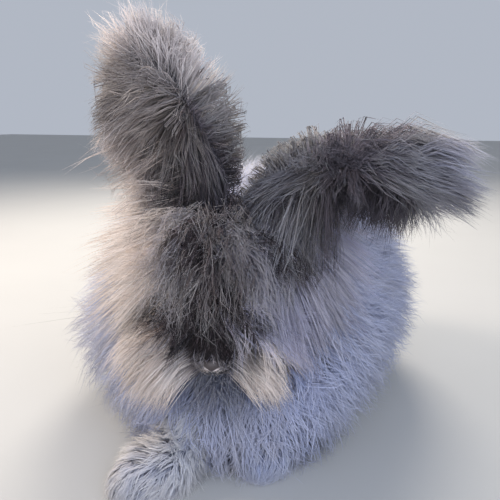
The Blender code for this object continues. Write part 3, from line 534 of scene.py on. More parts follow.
def joined(parts):
    """Several closed surfaces as one array of points and one of faces."""
    points, faces, shift = [], [], 0
    for some, others in parts:
        points.append(some)
        faces.append(outward(some, others) + shift)
        shift += len(some)
    return np.vstack(points), np.vstack(faces)


def blade_rings(ear, count, across_count, wall, rim):
    """Rings of an ear's cupped blade: across its back from rim to rim, and back inside the cup."""
    rows = smooth_path(ear["blade"], count)
    line, half = rows[:, :3], rows[:, 3]
    _, aside, front = frames_along(line, ear["facing"])
    across = np.linspace(-1.0, 1.0, across_count)
    angle = across * CUP_ANGLE
    side = (np.sin(angle) / math.sin(CUP_ANGLE))[None, :, None] * half[:, None, None]
    rise = ((1.0 - np.cos(angle)) / math.sin(CUP_ANGLE))[None, :, None] * half[:, None, None]
    middle = line[:, None, :] + side * aside[:, None, :] + rise * front[:, None, :]
    thick = (wall - rim) / 2 * np.sqrt(np.maximum(1.0 - across**2, 0.0)) + rim / 2
    cosine, sine = np.cos(angle)[None, :, None], np.sin(angle)[None, :, None]
    inward = unit(cosine * front[:, None, :] - sine * aside[:, None, :])
    back = middle - inward * thick[None, :, None]
    cup = middle + inward * thick[None, :, None]
    facing = np.concatenate([-inward, inward[:, ::-1]], axis=1)
    return np.concatenate([back, cup[:, ::-1]], axis=1), facing, line, half


class Forms:
    """The body parts in the frame of the solid parts: the forms' own frame moved by one shift."""

    def __init__(self):
        self.head_turn = head_axes()
        self.head = Flesh(HEAD, (0.055, 0.0, -0.004), self.head_turn, SHORT_SPOTS, THROAT)
        self.parts = {
            "head": self.head,
            "neck": Flesh(NECK, NECK[0][0]),
            "torso": Flesh(TORSO, (0.0, -0.010, 0.072)),
            "tail": Flesh(TAIL, TAIL[0][0]),
        }
        for name, (place, turn) in FOOT_PLACES.items():
            lobes = FORELEG if "fore" in name else HINDLEG
            start = (-0.004, 0.0, 0.016) if "fore" in name else (0.010, 0.0, 0.018)
            self.parts[name] = Flesh(lobes, start, foot_axes(place, turn))
        self.ears = {name: EarWool(ear) for name, ear in EARS.items()}
        low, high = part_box("eye_right")
        self.shift = np.array((low + high) / 2) - self.head.place(EYE_PLACE)
        self.shift[2] = 0.0


FORMS = Forms()


# Materials


NOISE_ROUGHNESS = 0.55
# How much light passes into the wool, and how far its red, green and blue travel.
WOOL_GLOW = 0.35
GLOW_REACH = (0.010, 0.008, 0.007)


def node_group(name, inputs, outputs):
    """A new shader node group with its sockets, and its inner ends."""
    tree = bpy.data.node_groups.new(name, "ShaderNodeTree")
    for label, kind, value in inputs:
        socket = tree.interface.new_socket(label, in_out="INPUT", socket_type=kind)
        if value is not None:
            socket.default_value = value
    for label, kind in outputs:
        tree.interface.new_socket(label, in_out="OUTPUT", socket_type=kind)
    return tree, tree.nodes.new("NodeGroupInput"), tree.nodes.new("NodeGroupOutput")


def maths(tree, operation, a, b=None, c=None, clamp=False):
    """A maths node's result: each of its inputs is a socket or a number."""
    node = tree.nodes.new("ShaderNodeMath")
    node.operation = operation
    node.use_clamp = clamp
    for slot, value in enumerate((a, b, c)):
        if value is None:
            continue
        if isinstance(value, (int, float)):
            node.inputs[slot].default_value = value
        else:
            tree.links.new(value, node.inputs[slot])
    return node.outputs[0]


def mixed(tree, factor, first, second, blend="MIX"):
    """Two colours mixed: each input is a socket or a value."""
    node = tree.nodes.new("ShaderNodeMix")
    node.data_type = "RGBA"
    node.blend_type = blend
    node.clamp_factor = True
    for socket, value in ((node.inputs[0], factor), (node.inputs[6], first), (node.inputs[7], second)):
        if hasattr(value, "is_linked"):
            tree.links.new(value, socket)
        elif isinstance(value, (int, float)):
            socket.default_value = value
        else:
            socket.default_value = (*value, 1.0)
    return node.outputs[2]


def noise(tree, scale, detail=3.0):
    """A noise value over Object coordinates."""
    node = tree.nodes.new("ShaderNodeTexNoise")
    node.inputs["Scale"].default_value = scale
    node.inputs["Detail"].default_value = detail
    node.inputs["Roughness"].default_value = NOISE_ROUGHNESS
    tree.links.new(tree.nodes.new("ShaderNodeTexCoord").outputs["Object"], node.inputs["Vector"])
    return node.outputs["Fac"]


def vector_maths(tree, operation, vector, other=None):
    """A vector maths node of a socket and a fixed vector."""
    node = tree.nodes.new("ShaderNodeVectorMath")
    node.operation = operation
    if other is not None:
        node.inputs[1].default_value = other
    tree.links.new(vector, node.inputs[0])
    return node


def near_spot(tree, place, stretch, inner, outer):
    """1 within the inner distance of a place and 0 past the outer one, in stretched Object coordinates."""
    coordinates = tree.nodes.new("ShaderNodeTexCoord").outputs["Object"]
    mapping = tree.nodes.new("ShaderNodeMapping")
    mapping.vector_type = "POINT"
    mapping.inputs["Scale"].default_value = stretch
    mapping.inputs["Location"].default_value = [-p * s for p, s in zip(place, stretch)]
    tree.links.new(coordinates, mapping.inputs["Vector"])
    length = vector_maths(tree, "LENGTH", mapping.outputs[0]).outputs["Value"]
    fade = tree.nodes.new("ShaderNodeMapRange")
    fade.interpolation_type = "SMOOTHSTEP"
    for label, value in (("From Min", inner), ("From Max", outer), ("To Min", 1.0), ("To Max", 0.0)):
        fade.inputs[label].default_value = value
    tree.links.new(length, fade.inputs["Value"])
    return fade.outputs["Result"]


def placed(local):
    """A point in the head's axes, in the frame of the solid parts."""
    return FORMS.head.place(local) + FORMS.shift


def attribute_value(tree, name):
    node = tree.nodes.new("ShaderNodeAttribute")
    node.attribute_name = name
    return node.outputs["Fac"]


def group_node(tree, name, colours=()):
    """A node of a group, with its colour inputs set."""
    node = tree.nodes.new("ShaderNodeGroup")
    node.node_tree = bpy.data.node_groups[name]
    for label, value in colours:
        node.inputs[label].default_value = (*value, 1.0)
    return node


def marks_and_painted_light_group():
    """A colour changed by the markings: warm and pale where the coat is so and where sunlight is painted, and
    dark over both, for dark hair and for painted shadows.
    """
    labels = ("Color", "Dark", "Warm", "Pale", "Cool")
    inputs = [(label, "NodeSocketColor", None) for label in labels] + [("Along", "NodeSocketFloat", 1.0)]
    tree, start, end = node_group("coat_markings", inputs, (("Color", "NodeSocketColor"),))
    dark, warm, pale, cool = (attribute_value(tree, name) for name in MARKS)
    along = start.outputs["Along"]
    colour = mixed(tree, cool, start.outputs["Color"], start.outputs["Cool"])
    early = maths(tree, "MULTIPLY_ADD", along, 1.8, -0.2, clamp=True)
    colour = mixed(tree, maths(tree, "MULTIPLY", warm, early), colour, start.outputs["Warm"])
    colour = mixed(tree, maths(tree, "MULTIPLY", pale, early), colour, start.outputs["Pale"])
    fade = maths(tree, "MULTIPLY_ADD", along, -0.15, 1.30)
    colour = mixed(tree, maths(tree, "MULTIPLY", dark, fade, clamp=True), colour, start.outputs["Dark"])
    tree.links.new(colour, end.inputs["Color"])


def wool_group():
    """A tuft's colour from its root to its tip, varied from tuft to tuft and from patch to patch."""
    inputs = [(label, "NodeSocketColor", None) for label in ("Root", "Middle", "Tip", "Stain")]
    inputs.append(("Variation", "NodeSocketFloat", 0.3))
    outputs = (("Color", "NodeSocketColor"), ("Roughness", "NodeSocketFloat"), ("Along", "NodeSocketFloat"))
    tree, start, end = node_group("wool_colour", inputs, outputs)
    along, tone, clump = (attribute_value(tree, name) for name in ("along", "tone", "clump"))
    middle = maths(tree, "SMOOTH_MIN", maths(tree, "MULTIPLY", along, 2.4), 1.0, 0.3, clamp=True)
    tipped = maths(tree, "POWER", along, 2.2)
    colour = mixed(tree, middle, start.outputs["Root"], start.outputs["Middle"])
    colour = mixed(tree, tipped, colour, start.outputs["Tip"])
    patches = maths(tree, "MULTIPLY_ADD", noise(tree, 24.0), 2.6, -1.1, clamp=True)
    stain = maths(tree, "MULTIPLY", patches, maths(tree, "MULTIPLY_ADD", clump, 0.6, 0.2), clamp=True)
    colour = mixed(tree, stain, colour, start.outputs["Stain"])
    lift = maths(tree, "MULTIPLY_ADD", tone, 0.55, maths(tree, "MULTIPLY", clump, 0.45))
    broad = maths(tree, "MULTIPLY_ADD", noise(tree, 55.0, 2.0), 0.8, -0.4)
    lift = maths(tree, "ADD", maths(tree, "SUBTRACT", lift, 0.5), broad)
    lift = maths(tree, "MULTIPLY_ADD", lift, start.outputs["Variation"], 1.0)
    grey = tree.nodes.new("ShaderNodeCombineColor")
    for channel in range(3):
        tree.links.new(lift, grey.inputs[channel])
    colour = mixed(tree, 1.0, colour, grey.outputs[0], "MULTIPLY")
    tree.links.new(colour, end.inputs["Color"])
    tree.links.new(maths(tree, "MULTIPLY_ADD", tone, 0.16, 0.62), end.inputs["Roughness"])
    tree.links.new(along, end.inputs["Along"])


def new_material(name, roughness, sheen=0.0):
    material = bpy.data.materials.new(name)
    material.use_nodes = True
    shader = material.node_tree.nodes["Principled BSDF"]
    shader.inputs["Roughness"].default_value = roughness
    shader.inputs["Sheen Weight"].default_value = sheen
    shader.inputs["Sheen Roughness"].default_value = 0.45
    return material, material.node_tree, shader


def wool_material(name, heights, stain, variation=0.5, marks=None):
    """Wool: the tuft colours, with the markings, painted shade and sunlight among them, where they are asked
    for; light passes a little into it.
    """
    material, tree, shader = new_material(name, 0.75, 0.03)
    shader.inputs["Specular IOR Level"].default_value = 0.12
    shader.inputs["Subsurface Weight"].default_value = WOOL_GLOW
    shader.inputs["Subsurface Radius"].default_value = GLOW_REACH
    shader.inputs["Subsurface Scale"].default_value = 1.0
    colours = zip(("Root", "Middle", "Tip", "Stain"), (*heights, stain))
    wool = group_node(tree, "wool_colour", colours)
    wool.inputs["Variation"].default_value = variation
    colour = wool.outputs["Color"]
    if marks is not None:
        marked = group_node(tree, "coat_markings", marks)
        tree.links.new(colour, marked.inputs["Color"])
        tree.links.new(wool.outputs["Along"], marked.inputs["Along"])
        colour = marked.outputs["Color"]
    tree.links.new(colour, shader.inputs["Base Color"])
    tree.links.new(wool.outputs["Roughness"], shader.inputs["Roughness"])
    return material


def add_bump(tree, shader, height, strength, distance):
    bump = tree.nodes.new("ShaderNodeBump")
    bump.inputs["Strength"].default_value = strength
    bump.inputs["Distance"].default_value = distance
    tree.links.new(height, bump.inputs["Height"])
    tree.links.new(bump.outputs["Normal"], shader.inputs["Normal"])


def skin_material():
    """Skin under matted down: the wool's root colours broken by noise, with the same markings as the coat,
    painted shadows and sunlight among them.
    """
    material, tree, shader = new_material("skin_down", 0.8, 0.3)
    shader.inputs["Specular IOR Level"].default_value = 0.2
    patches = noise(tree, 60.0, 4.0)
    head = attribute_value(tree, "headed")
    body = mixed(tree, patches, (0.10, 0.11, 0.15), (0.17, 0.18, 0.24))
    face = mixed(tree, patches, (0.055, 0.048, 0.050), (0.11, 0.095, 0.095))
    colour = mixed(tree, head, body, face)
    marks = (
        ("Dark", (0.022, 0.018, 0.018)),
        ("Warm", (0.20, 0.14, 0.11)),
        ("Pale", (0.30, 0.27, 0.27)),
        ("Cool", (0.13, 0.13, 0.18)),
    )
    marked = group_node(tree, "coat_markings", marks)
    tree.links.new(colour, marked.inputs["Color"])
    colour = marked.outputs["Color"]
    lip = near_spot(tree, placed((0.006, 0.0, -0.0065)), (1.0, 1.0, 1.0), 0.002, 0.007)
    colour = mixed(tree, maths(tree, "MULTIPLY", lip, 0.60), colour, (0.42, 0.37, 0.36))
    tree.links.new(colour, shader.inputs["Base Color"])
    grain = noise(tree, 1400.0, 2.0)
    tree.links.new(maths(tree, "MULTIPLY_ADD", grain, 0.2, 0.66), shader.inputs["Roughness"])
    add_bump(tree, shader, grain, 0.5, 0.0006)
    return material


# Wool


# The steps of a guide, and the one whose place mostly gives its markings.
STEPS = 10
MARK_STEP = 7
# A tuft's corners, and where its rings stand along it with the share of its width at each.
CORNERS = 3
FINE_RINGS = (np.array((0.0, 0.30, 0.60, 0.84)), np.array((0.60, 1.0, 0.74, 0.40)))
PLAIN_RINGS = (np.array((0.0, 0.40, 0.76)), np.array((0.60, 1.0, 0.52)))
FEW_RINGS = (np.array((0.0, 0.50)), np.array((0.80, 1.0)))
# A tuft's patch on the map, the share of loose single hairs, and how much a tuft shades as its coat.
PATCH = 0.003
STRAY_SHARE = 0.14
HULL_SHADE = 0.85
# The width of a tuft away from the body.
TUFT_WIDTH = 0.0006
COUNTS = {
    "torso": 11200,
    "neck": 1300,
    "tail": 800,
    "head": 7200,
    "beard": 6500,
    "muzzle": 9000,
    "forelock": 2600,
    "mane": 3600,
    "ear": 1650,
    "foreleg": 3200,
    "hindleg": 1500,
}


class TuftKind:
    """How the tufts about each guide look.

    each: tufts about one guide; spread: how far their roots stand from it; width: at the widest ring;
    wave, waves: size and number of the crimps; close: how far a tuft's tip is drawn to the guide;
    shorter: the most that a tuft falls short of its guide.
    """

    def __init__(
        self, each, spread, width, wave, waves=1.6, close=(0.1, 0.85), shorter=0.35, rings=PLAIN_RINGS
    ):
        self.each, self.spread, self.width = each, spread, width
        self.wave, self.waves, self.close, self.shorter = wave, waves, close, shorter
        self.parts, self.sizes = rings


class Guides:
    """Middle lines of the wool, the outer side of the coat along them and each one's markings."""

    def __init__(self, lines, normals, marks=None):
        self.lines, self.normals = lines, normals
        self.marks = marks if marks is not None else np.zeros((len(lines), len(MARKS)))

    def some(self, which):
        return Guides(self.lines[which], self.normals[which], self.marks[which])


def rooted(flesh, count, chance, share, weight=None):
    """Places on a surface of the flesh, thinned so that they are as close together near and far."""
    rays = unit(even_directions(count) + chance.normal(0.0, 0.9 / math.sqrt(count), (count, 3)))
    points = flesh.reach(rays, share)
    square = ((points - flesh.start) ** 2).sum(axis=1)
    chosen = square / np.quantile(square, 0.97)
    if weight is not None:
        chosen = chosen * weight(points)
    keep = chance.uniform(0.0, 1.0, count) < chosen
    return points[keep] - rays[keep] * ROOT_DEPTH


def outside(points, others, least):
    """Which points lie at least this far outside all of these distances."""
    keep = np.ones(len(points), bool)
    for other in others:
        keep &= other(points) > least
    return keep


def grow_guides(flesh, roots, chance, lie, travel, tips, rise=0.8, swing=0.25, curl=0.35, over=(), more=None):
    """The middle lines that tufts follow: each rises through the wool's depth as it travels along the lie."""
    count = len(roots)
    travel = travel(roots) if callable(travel) else np.full(count, travel)
    travel = travel * chance.uniform(0.7, 1.3, count)
    aim = chance.uniform(tips[0], tips[1], count) + (0.0 if more is None else more(roots))
    turn = chance.normal(0.0, swing, count)
    bend = chance.normal(0.0, curl, count)
    point = roots
    low = flesh.distance(point, 0.0)
    first = np.clip(low / np.maximum(low - flesh.distance(point), 0.001), 0.0, 1.0)
    line, sides = [point], [flesh.slope(point)]
    for step in range(1, STEPS + 1):
        part = step / STEPS
        normal = sides[-1]
        heading = lie(point, normal)
        aside = np.cross(normal, heading)
        angle = (turn + bend * part)[:, None]
        heading = heading * np.cos(angle) + aside * np.sin(angle)
        point = point + heading * (travel / STEPS)[:, None]
        target = first + (aim - first) * part**rise
        for _ in range(2):
            low, high = flesh.distance(point, 0.0), flesh.distance(point)
            depth = np.maximum(low - high, 0.0015)
            point = point + normal * (target * depth - low)[:, None]
        for other in over:
            push = np.maximum(-OVERLAP - other(point), 0.0)
            point = point + slope_of(other, point) * push[:, None]
        point[:, 2] = np.maximum(point[:, 2], FLOOR + 0.001)
        line.append(point)
        sides.append(flesh.slope(point))
    return Guides(np.stack(line, axis=1), np.stack(sides, axis=1))


def drawn_guides(roots, headings, lengths, droop, held=None):
    """Guides that leave along their headings and turn a little further down at each step."""
    point, line = roots, [roots]
    for step in range(1, STEPS + 1):
        point = point + unit(headings + DOWN * (droop * step / STEPS)) * (lengths / STEPS)[:, None]
        if held is not None:
            point = held(point)
        point[:, 2] = np.maximum(point[:, 2], FLOOR + 0.001)
        line.append(point)
    return Guides(np.stack(line, axis=1), np.repeat(headings[:, None], STEPS + 1, axis=1))


def lock_together(guides, count, chance, strength):
    """Draws neighbouring guides together towards their tips, so that the coat parts into locks."""
    lines = guides.lines
    roots = lines[:, 0]
    leaders = roots[chance.choice(len(roots), max(1, len(roots) // count), replace=False)]
    nearest = np.empty(len(roots), int)
    for first in range(0, len(roots), AT_ONCE):
        gap = ((roots[first : first + AT_ONCE, None] - leaders[None]) ** 2).sum(axis=2)
        nearest[first : first + AT_ONCE] = gap.argmin(axis=1)
    total = np.zeros((len(leaders), *lines.shape[1:]))
    members = np.bincount(nearest, minlength=len(leaders))[:, None, None]
    np.add.at(total, nearest, lines)
    middle = (total / np.maximum(members, 1))[nearest]
    part = np.linspace(0.0, 1.0, lines.shape[1])[None, :, None]
    pull = strength * chance.uniform(0.2, 1.0, (len(leaders), 1, 1))[nearest] * part**1.5
    guides.lines = lines + (middle - lines) * pull
    return guides


def grow_tufts(guides, kind, chance):
    """Tufts around each guide: rings of three points, tips, shading sides of both, and each one's guide."""
    count = len(guides.lines) * kind.each
    guide = np.repeat(np.arange(len(guides.lines)), kind.each)
    line, hull = guides.lines[guide], guides.normals[guide]
    along = unit(line[:, 1] - line[:, 0])
    side = unit(np.cross(along, chance.normal(0.0, 1.0, (count, 3))))
    offset = side * (kind.spread * np.sqrt(chance.uniform(0.0, 1.0, count)))[:, None]
    close = chance.uniform(kind.close[0], kind.close[1], count)
    stray = chance.uniform(0.0, 1.0, count) < STRAY_SHARE
    close = np.where(stray, -0.9, close)
    length = 1.0 - kind.shorter * chance.uniform(0.0, 1.0, count) ** 2
    length = np.where(stray, chance.uniform(1.0, 1.2, count), length)
    parts = np.append(kind.parts, 1.0)
    where = parts[None, :] * length[:, None] * STEPS
    index = np.minimum(where.astype(int), STEPS - 1)
    part = (where - index)[:, :, None]
    rows = np.arange(count)[:, None]
    curve = line[rows, index] * (1.0 - part) + line[rows, index + 1] * part
    shade = hull[rows, index] * (1.0 - part) + hull[rows, index + 1] * part
    curve = curve + offset[:, None, :] * (1.0 - close[:, None] * parts[None, :] ** 1.2)[:, :, None]
    phase = chance.uniform(0.0, FULL_TURN, len(guides.lines))[guide] + chance.normal(0.0, 0.7, count)
    speed = kind.waves * FULL_TURN * chance.uniform(0.7, 1.3, len(guides.lines))[guide]
    size = kind.wave * chance.uniform(0.3, 1.6, count)
    angle = speed[:, None] * parts[None, :]
    swing = np.sin(angle + phase[:, None]) * parts[None, :] * size[:, None]
    bob = np.cos(angle + phase[:, None] * 1.7) * parts[None, :] * size[:, None]
    across = np.cross(along, side)
    curve = curve + swing[:, :, None] * side[:, None, :] + bob[:, :, None] * across[:, None, :]
    curve[:, :, 2] = np.maximum(curve[:, :, 2], FLOOR)
    heading = unit(np.gradient(curve, axis=1))
    face = unit(np.cross(heading, side[:, None, :]))
    edge = np.cross(face, heading)
    thick = kind.width * chance.uniform(0.65, 1.35, count) * np.where(stray, 0.5, 1.0)
    rings, shades = [], []
    for corner in range(CORNERS):
        turn = corner * FULL_TURN / CORNERS
        arm = edge * math.cos(turn) + face * math.sin(turn)
        rings.append(curve[:, :-1] + arm[:, :-1] * (thick[:, None] * kind.sizes[None, :] / 2)[:, :, None])
        shades.append(unit(shade[:, :-1] * HULL_SHADE + arm[:, :-1] * (1.0 - HULL_SHADE)))
    shape = np.stack(rings, axis=2)
    shape[:, :, :, 2] = np.maximum(shape[:, :, :, 2], FLOOR / 2)
    tip_shade = unit(shade[:, -1])
    each = len(kind.parts) * CORNERS
    points = np.concatenate([shape.reshape(count, each, 3), curve[:, -1:]], axis=1)
    shades = np.concatenate([np.stack(shades, axis=2).reshape(count, each, 3), tip_shade[:, None]], axis=1)
    return points, shades, guide


def tuft_faces(tufts, rings):
    """Triangles of closed three-sided tufts whose points lie ring by ring, with the tip last."""
    each = rings * CORNERS + 1
    last = (rings - 1) * CORNERS
    faces = [(0, 2, 1)]
    for k in range(CORNERS):
        following = (k + 1) % CORNERS
        faces.append((last + k, last + following, each - 1))
        for ring in range(rings - 1):
            low, high = ring * CORNERS, (ring + 1) * CORNERS
            faces.append((low + k, low + following, high + following))
            faces.append((low + k, high + following, high + k))
    faces = np.array(faces, np.int32)
    return (faces[None] + (np.arange(tufts, dtype=np.int32) * each)[:, None, None]).reshape(-1, 3)


def octahedral(directions):
    """Unit directions laid out on a square: the ball folded to an octahedron and opened flat."""
    flat = directions / np.abs(directions).sum(axis=1, keepdims=True)
    x, y = flat[:, 0], flat[:, 1]
    below = flat[:, 2] < 0.0
    folded_x = np.where(below, (1.0 - np.abs(y)) * np.where(x < 0, -1.0, 1.0), x)
    folded_y = np.where(below, (1.0 - np.abs(x)) * np.where(y < 0, -1.0, 1.0), y)
    return np.stack([folded_x, folded_y], axis=1) * 0.49 + 0.5


def unwrap_about(centre):
    """An unwrap of places on a rounded form by their direction from its middle."""
    return lambda places: octahedral(unit(places - np.array(centre)))


def unwrap_ear(name):
    """An unwrap of places on an ear: round its middle line, and along it."""
    wool = FORMS.ears[name]

    def unwrap(places):
        step, parts = wool.parts(places)
        around = np.arctan2(parts[:, 0], parts[:, 1]) / FULL_TURN + 0.5
        return np.stack([around, step / len(wool.line)], axis=1) * 0.98 + 0.01

    return unwrap


def coat_piece(name, guides, unwrap, chance, material, kind):
    """One piece of the coat from its guides, with its values for the material and its map for baking."""
    points, shades, guide = grow_tufts(guides, kind, chance)
    tufts, per = points.shape[:2]
    rings = len(kind.parts)
    faces = tuft_faces(tufts, rings)
    obj = new_piece(name, points.reshape(-1, 3) + FORMS.shift, faces, material)
    obj.data.normals_split_custom_set_from_vertices(shades.reshape(-1, 3).astype(np.float32))
    ring_part = np.append(np.repeat(kind.parts, CORNERS), 1.0)
    add_attribute(obj, "along", np.tile(ring_part, tufts))
    add_attribute(obj, "tone", np.repeat(chance.uniform(0.0, 1.0, tufts), per))
    tones = chance.uniform(0.0, 1.0, len(guides.lines))[guide]
    add_attribute(obj, "clump", np.repeat(tones, per))
    marks = np.clip(guides.marks[guide] + chance.normal(0.0, 0.07, (tufts, len(MARKS))), 0.0, 1.0)
    for column, label in enumerate(MARKS):
        add_attribute(obj, label, np.repeat(marks[:, column], per))
    place = unwrap(points[:, 0])
    corner = np.append(np.tile((0.0, 0.5, 1.0), rings), 0.5)
    patch = np.stack([corner, ring_part], axis=1) * PATCH
    uv = (place[:, None, :] * (1.0 - PATCH) + patch[None]).reshape(-1, 2)
    layer = obj.data.uv_layers.new(name="OFBake")
    layer.data.foreach_set("uv", uv[faces.ravel()].astype(np.float32).ravel())
    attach(obj, "root")
    return obj


def split(guides, pieces):
    """The guides in several shares by their turn about the middle of the body part."""
    roots = guides.lines[:, 0]
    middle = roots.mean(axis=0)
    turn = np.arctan2(roots[:, 1] - middle[1], roots[:, 0] - middle[0])
    return [guides.some(which) for which in np.array_split(np.argsort(turn), pieces)]


# The markings: where the coat is dark, warm or pale, and where shade and sunlight are painted into it


MARKS = ("dark", "warm", "pale", "cool")
FACE_TILT = math.radians(29.0)
# Soft spots on the face: height up it from the nose tip, place to its right, their half sizes and a strength.
# Some dark spots are painted shadows, and the warm and pale spots far out on the face's right, where the sun
# falls, are partly painted sunlight.
FACE_SPOTS = {
    "dark": (
        (0.0150, 0.003, 0.0160, 0.022, 1.00),
        (0.0280, 0.032, 0.0140, 0.034, 1.00),
        (0.0300, -0.017, 0.0130, 0.023, 0.90),
        (0.0470, 0.004, 0.0200, 0.020, 0.75),
        # Painted shadow under the pale band on the face's left.
        (0.0060, -0.0165, 0.0070, 0.012, 1.00),
        (0.0060, 0.0186, 0.0070, 0.014, 0.85),
        # The next two: painted shadows of the brow's wool around the eyes.
        (0.0745, 0.019, 0.0160, 0.020, 1.00),
        (0.0700, -0.049, 0.0140, 0.026, 0.90),
        (0.1120, -0.006, 0.0160, 0.040, 0.85),
        # Painted shadow under the mouth, where the top of the chest lies in shade.
        (-0.0090, 0.000, 0.0060, 0.015, 1.00),
    ),
    "warm": (
        (0.0870, -0.007, 0.0380, 0.016, 0.30),
        # The next three: warm hair on the face's right side, made stronger there by painted sunlight.
        (0.0300, 0.070, 0.0900, 0.032, 1.00),
        (0.0880, 0.066, 0.0500, 0.028, 0.60),
        (0.0290, 0.045, 0.0120, 0.020, 0.50),
        (0.0060, -0.034, 0.0140, 0.022, 0.35),
    ),
    "pale": (
        (0.0010, -0.035, 0.0140, 0.022, 1.00),
        (-0.0140, -0.053, 0.0130, 0.020, 0.95),
        (-0.0170, 0.050, 0.0260, 0.034, 0.80),
        # Painted sunlight on the lit far edge of the wool on the face's right side.
        (0.0300, 0.076, 0.0800, 0.024, 0.90),
    ),
    "cool": (
        (0.0300, -0.050, 0.0340, 0.036, 0.90),
        (0.0700, -0.030, 0.0260, 0.024, 0.45),
        (-0.0060, 0.026, 0.0200, 0.014, 0.60),
        (0.0800, 0.040, 0.0300, 0.016, 0.40),
    ),
}


def face_height(local):
    """How high places of the head stand on the face seen square on."""
    return local[:, 0] * math.cos(FACE_TILT) + local[:, 2] * math.sin(FACE_TILT)


def face_marks(points):
    """The share of each marking at each point of the head, by its place on the face seen square on; painted
    shadows and sunlight are among them.
    """
    local = FORMS.head.local(points)
    height = face_height(local)
    found = np.zeros((len(points), len(MARKS)))
    for column, label in enumerate(MARKS):
        for up, aside, high, wide, strength in FACE_SPOTS[label]:
            away = np.hypot((height - up) / high, (local[:, 1] - aside) / wide)
            found[:, column] = np.maximum(found[:, column], strength * (1.0 - eased(away, 0.55, 1.15)))
    return found


def ear_marks(name, points):
    """Dark at an ear's root and along its fold, and pale where the fringe leaves for the ear's end. On the
    right ear that pale is partly painted sunlight, and the wool hanging on its right side is painted warm and
    pale where the sun falls on it.
    """
    wool = FORMS.ears[name]
    step, _ = wool.parts(points)
    offset = wool.from_fold(points)
    root = 1.0 - eased(step / len(wool.line), 0.25, 0.70)
    away = np.linalg.norm(offset, axis=1)
    towards = eased(offset @ np.array(EARS[name]["pale_way"]) / np.maximum(away, 0.001), -0.05, 0.60)
    fringe = eased(away, *EARS[name]["pale_reach"]) * towards
    fold = 1.0 - eased(away, 0.008, 0.026)
    below = eased(-(points - wool.line[step])[:, 2], 0.002, 0.022)
    under = below * (1.0 - fringe) * eased(points[:, 0], 0.085, 0.105)
    if name == "ear_right":
        # Painted sunlight on the wool hanging on the right ear's right side: warm and pale, and less dark.
        back = 0.8 * eased(-points[:, 0], 0.018, 0.045) * (1.0 - eased(points[:, 2], 0.22, 0.26))
        dark = np.maximum(0.9 * root, 0.9 * fold) * (1.0 - back)
        warm, pale = np.maximum(0.8 * fringe, back), np.maximum(0.95 * fringe, 0.6 * back)
        return np.stack([dark, warm, pale, 0 * fringe], axis=1)
    least = (0.35 + 0.50 * eased(points[:, 0], 0.075, 0.105)) * (1.0 - fringe)
    dark = np.maximum.reduce([0.35 * root, 0.65 * fold, under, least])
    return np.stack([dark, 0.1 * fringe, 0.7 * fringe, 0.6 * fringe], axis=1)


# The lie of the coat


def body_lie(points, normals):
    """Back along the spine, out from it and down the sides, and straight down over the chest."""
    back = eased(points[:, 1], -0.11, 0.02)[:, None] * np.array((0.0, 0.75, 0.0))
    out = points * np.array((4.0, 0.0, 0.0))
    return level(back + out + DOWN * 0.9, normals)


def head_lie(points, normals):
    """Away from the middle of the face and down, as the wool of the forehead and cheeks falls."""
    local = FORMS.head.local(points)
    aside = local[:, 1:2] / (np.abs(local[:, 1:2]) + 0.006)
    spread = 0.45 + 1.4 * (1.0 - eased(local[:, 0:1], 0.030, 0.070))
    return level(aside * spread * FORMS.head.axes[:3, 1] + DOWN, normals)


def tail_lie(points, normals):
    return level(np.array((0.0, 0.9, 0.0)) + DOWN * 0.3 + 0 * points, normals)


def foot_lie_of(leg):
    def lie(points, normals):
        return level(leg.axes[:3, 0] * 0.9 + DOWN * 0.5 + 0 * points, normals)

    return lie


def ear_guides(name, count, chance):
    """Guides on both faces of an ear's blade, fanning out from its fold inside the bounds of its wool."""
    ear, wool = EARS[name], FORMS.ears[name]
    rings, facing, line, half = blade_rings(ear, 60, 24, 0.0042, 0.0012)
    rows, columns = rings.shape[:2]
    reach = smooth_path(ear["wool"], rows)[:, 3]
    weight = np.cumsum(half * (0.4 + reach / reach.max()))
    along = np.interp(chance.uniform(0.0, weight[-1], count), weight, np.arange(rows))
    along = np.minimum(along, rows - 1.001)
    around = chance.integers(0, columns, count)
    low = along.astype(int)
    part = (along - low)[:, None]
    roots = rings[low, around] * (1 - part) + rings[low + 1, around] * part
    out = facing[low, around]
    roots = roots - out * ROOT_DEPTH
    tube, _, front = frames_along(line, ear["facing"])
    tube, front = tube[low], front[low]
    inside = ((out * front).sum(axis=1) > 0.0)[:, None]
    fan = unit(wool.from_fold(roots))
    share = (along / rows)[:, None]
    lift = np.where(inside, 0.15 - 0.5 * (1.0 - eased(share, 0.45, 0.75)), 0.45)
    spread = np.where(inside, 0.9, 0.5)
    rim = unit(roots - line[low] - front * half[low][:, None] * 0.5)
    heading = out * 0.55 + rim * 0.35 + fan * spread + tube * lift + chance.normal(0.0, 0.20, (count, 3))
    heading = unit(heading)
    wide = np.maximum(reach[np.minimum(low + 4, rows - 1)], 0.056 * eased(share[:, 0], 0.35, 0.70))
    length = wide * chance.uniform(0.80, 1.25, count) + 0.012
    limit = chance.uniform(-0.008, 0.008, count) + 0.020 * np.maximum(-heading[:, 2] - 0.1, 0.0)
    guides = drawn_guides(roots, heading, length, ear["droop"], wool.held_within(limit))
    hull = unit(slope_of(wool.distance, guides.lines[:, 6]) + out * 0.3)
    guides.normals = np.repeat(hull[:, None], STEPS + 1, axis=1)
    guides.marks = ear_marks(name, guides.lines[:, 6])
    return guides


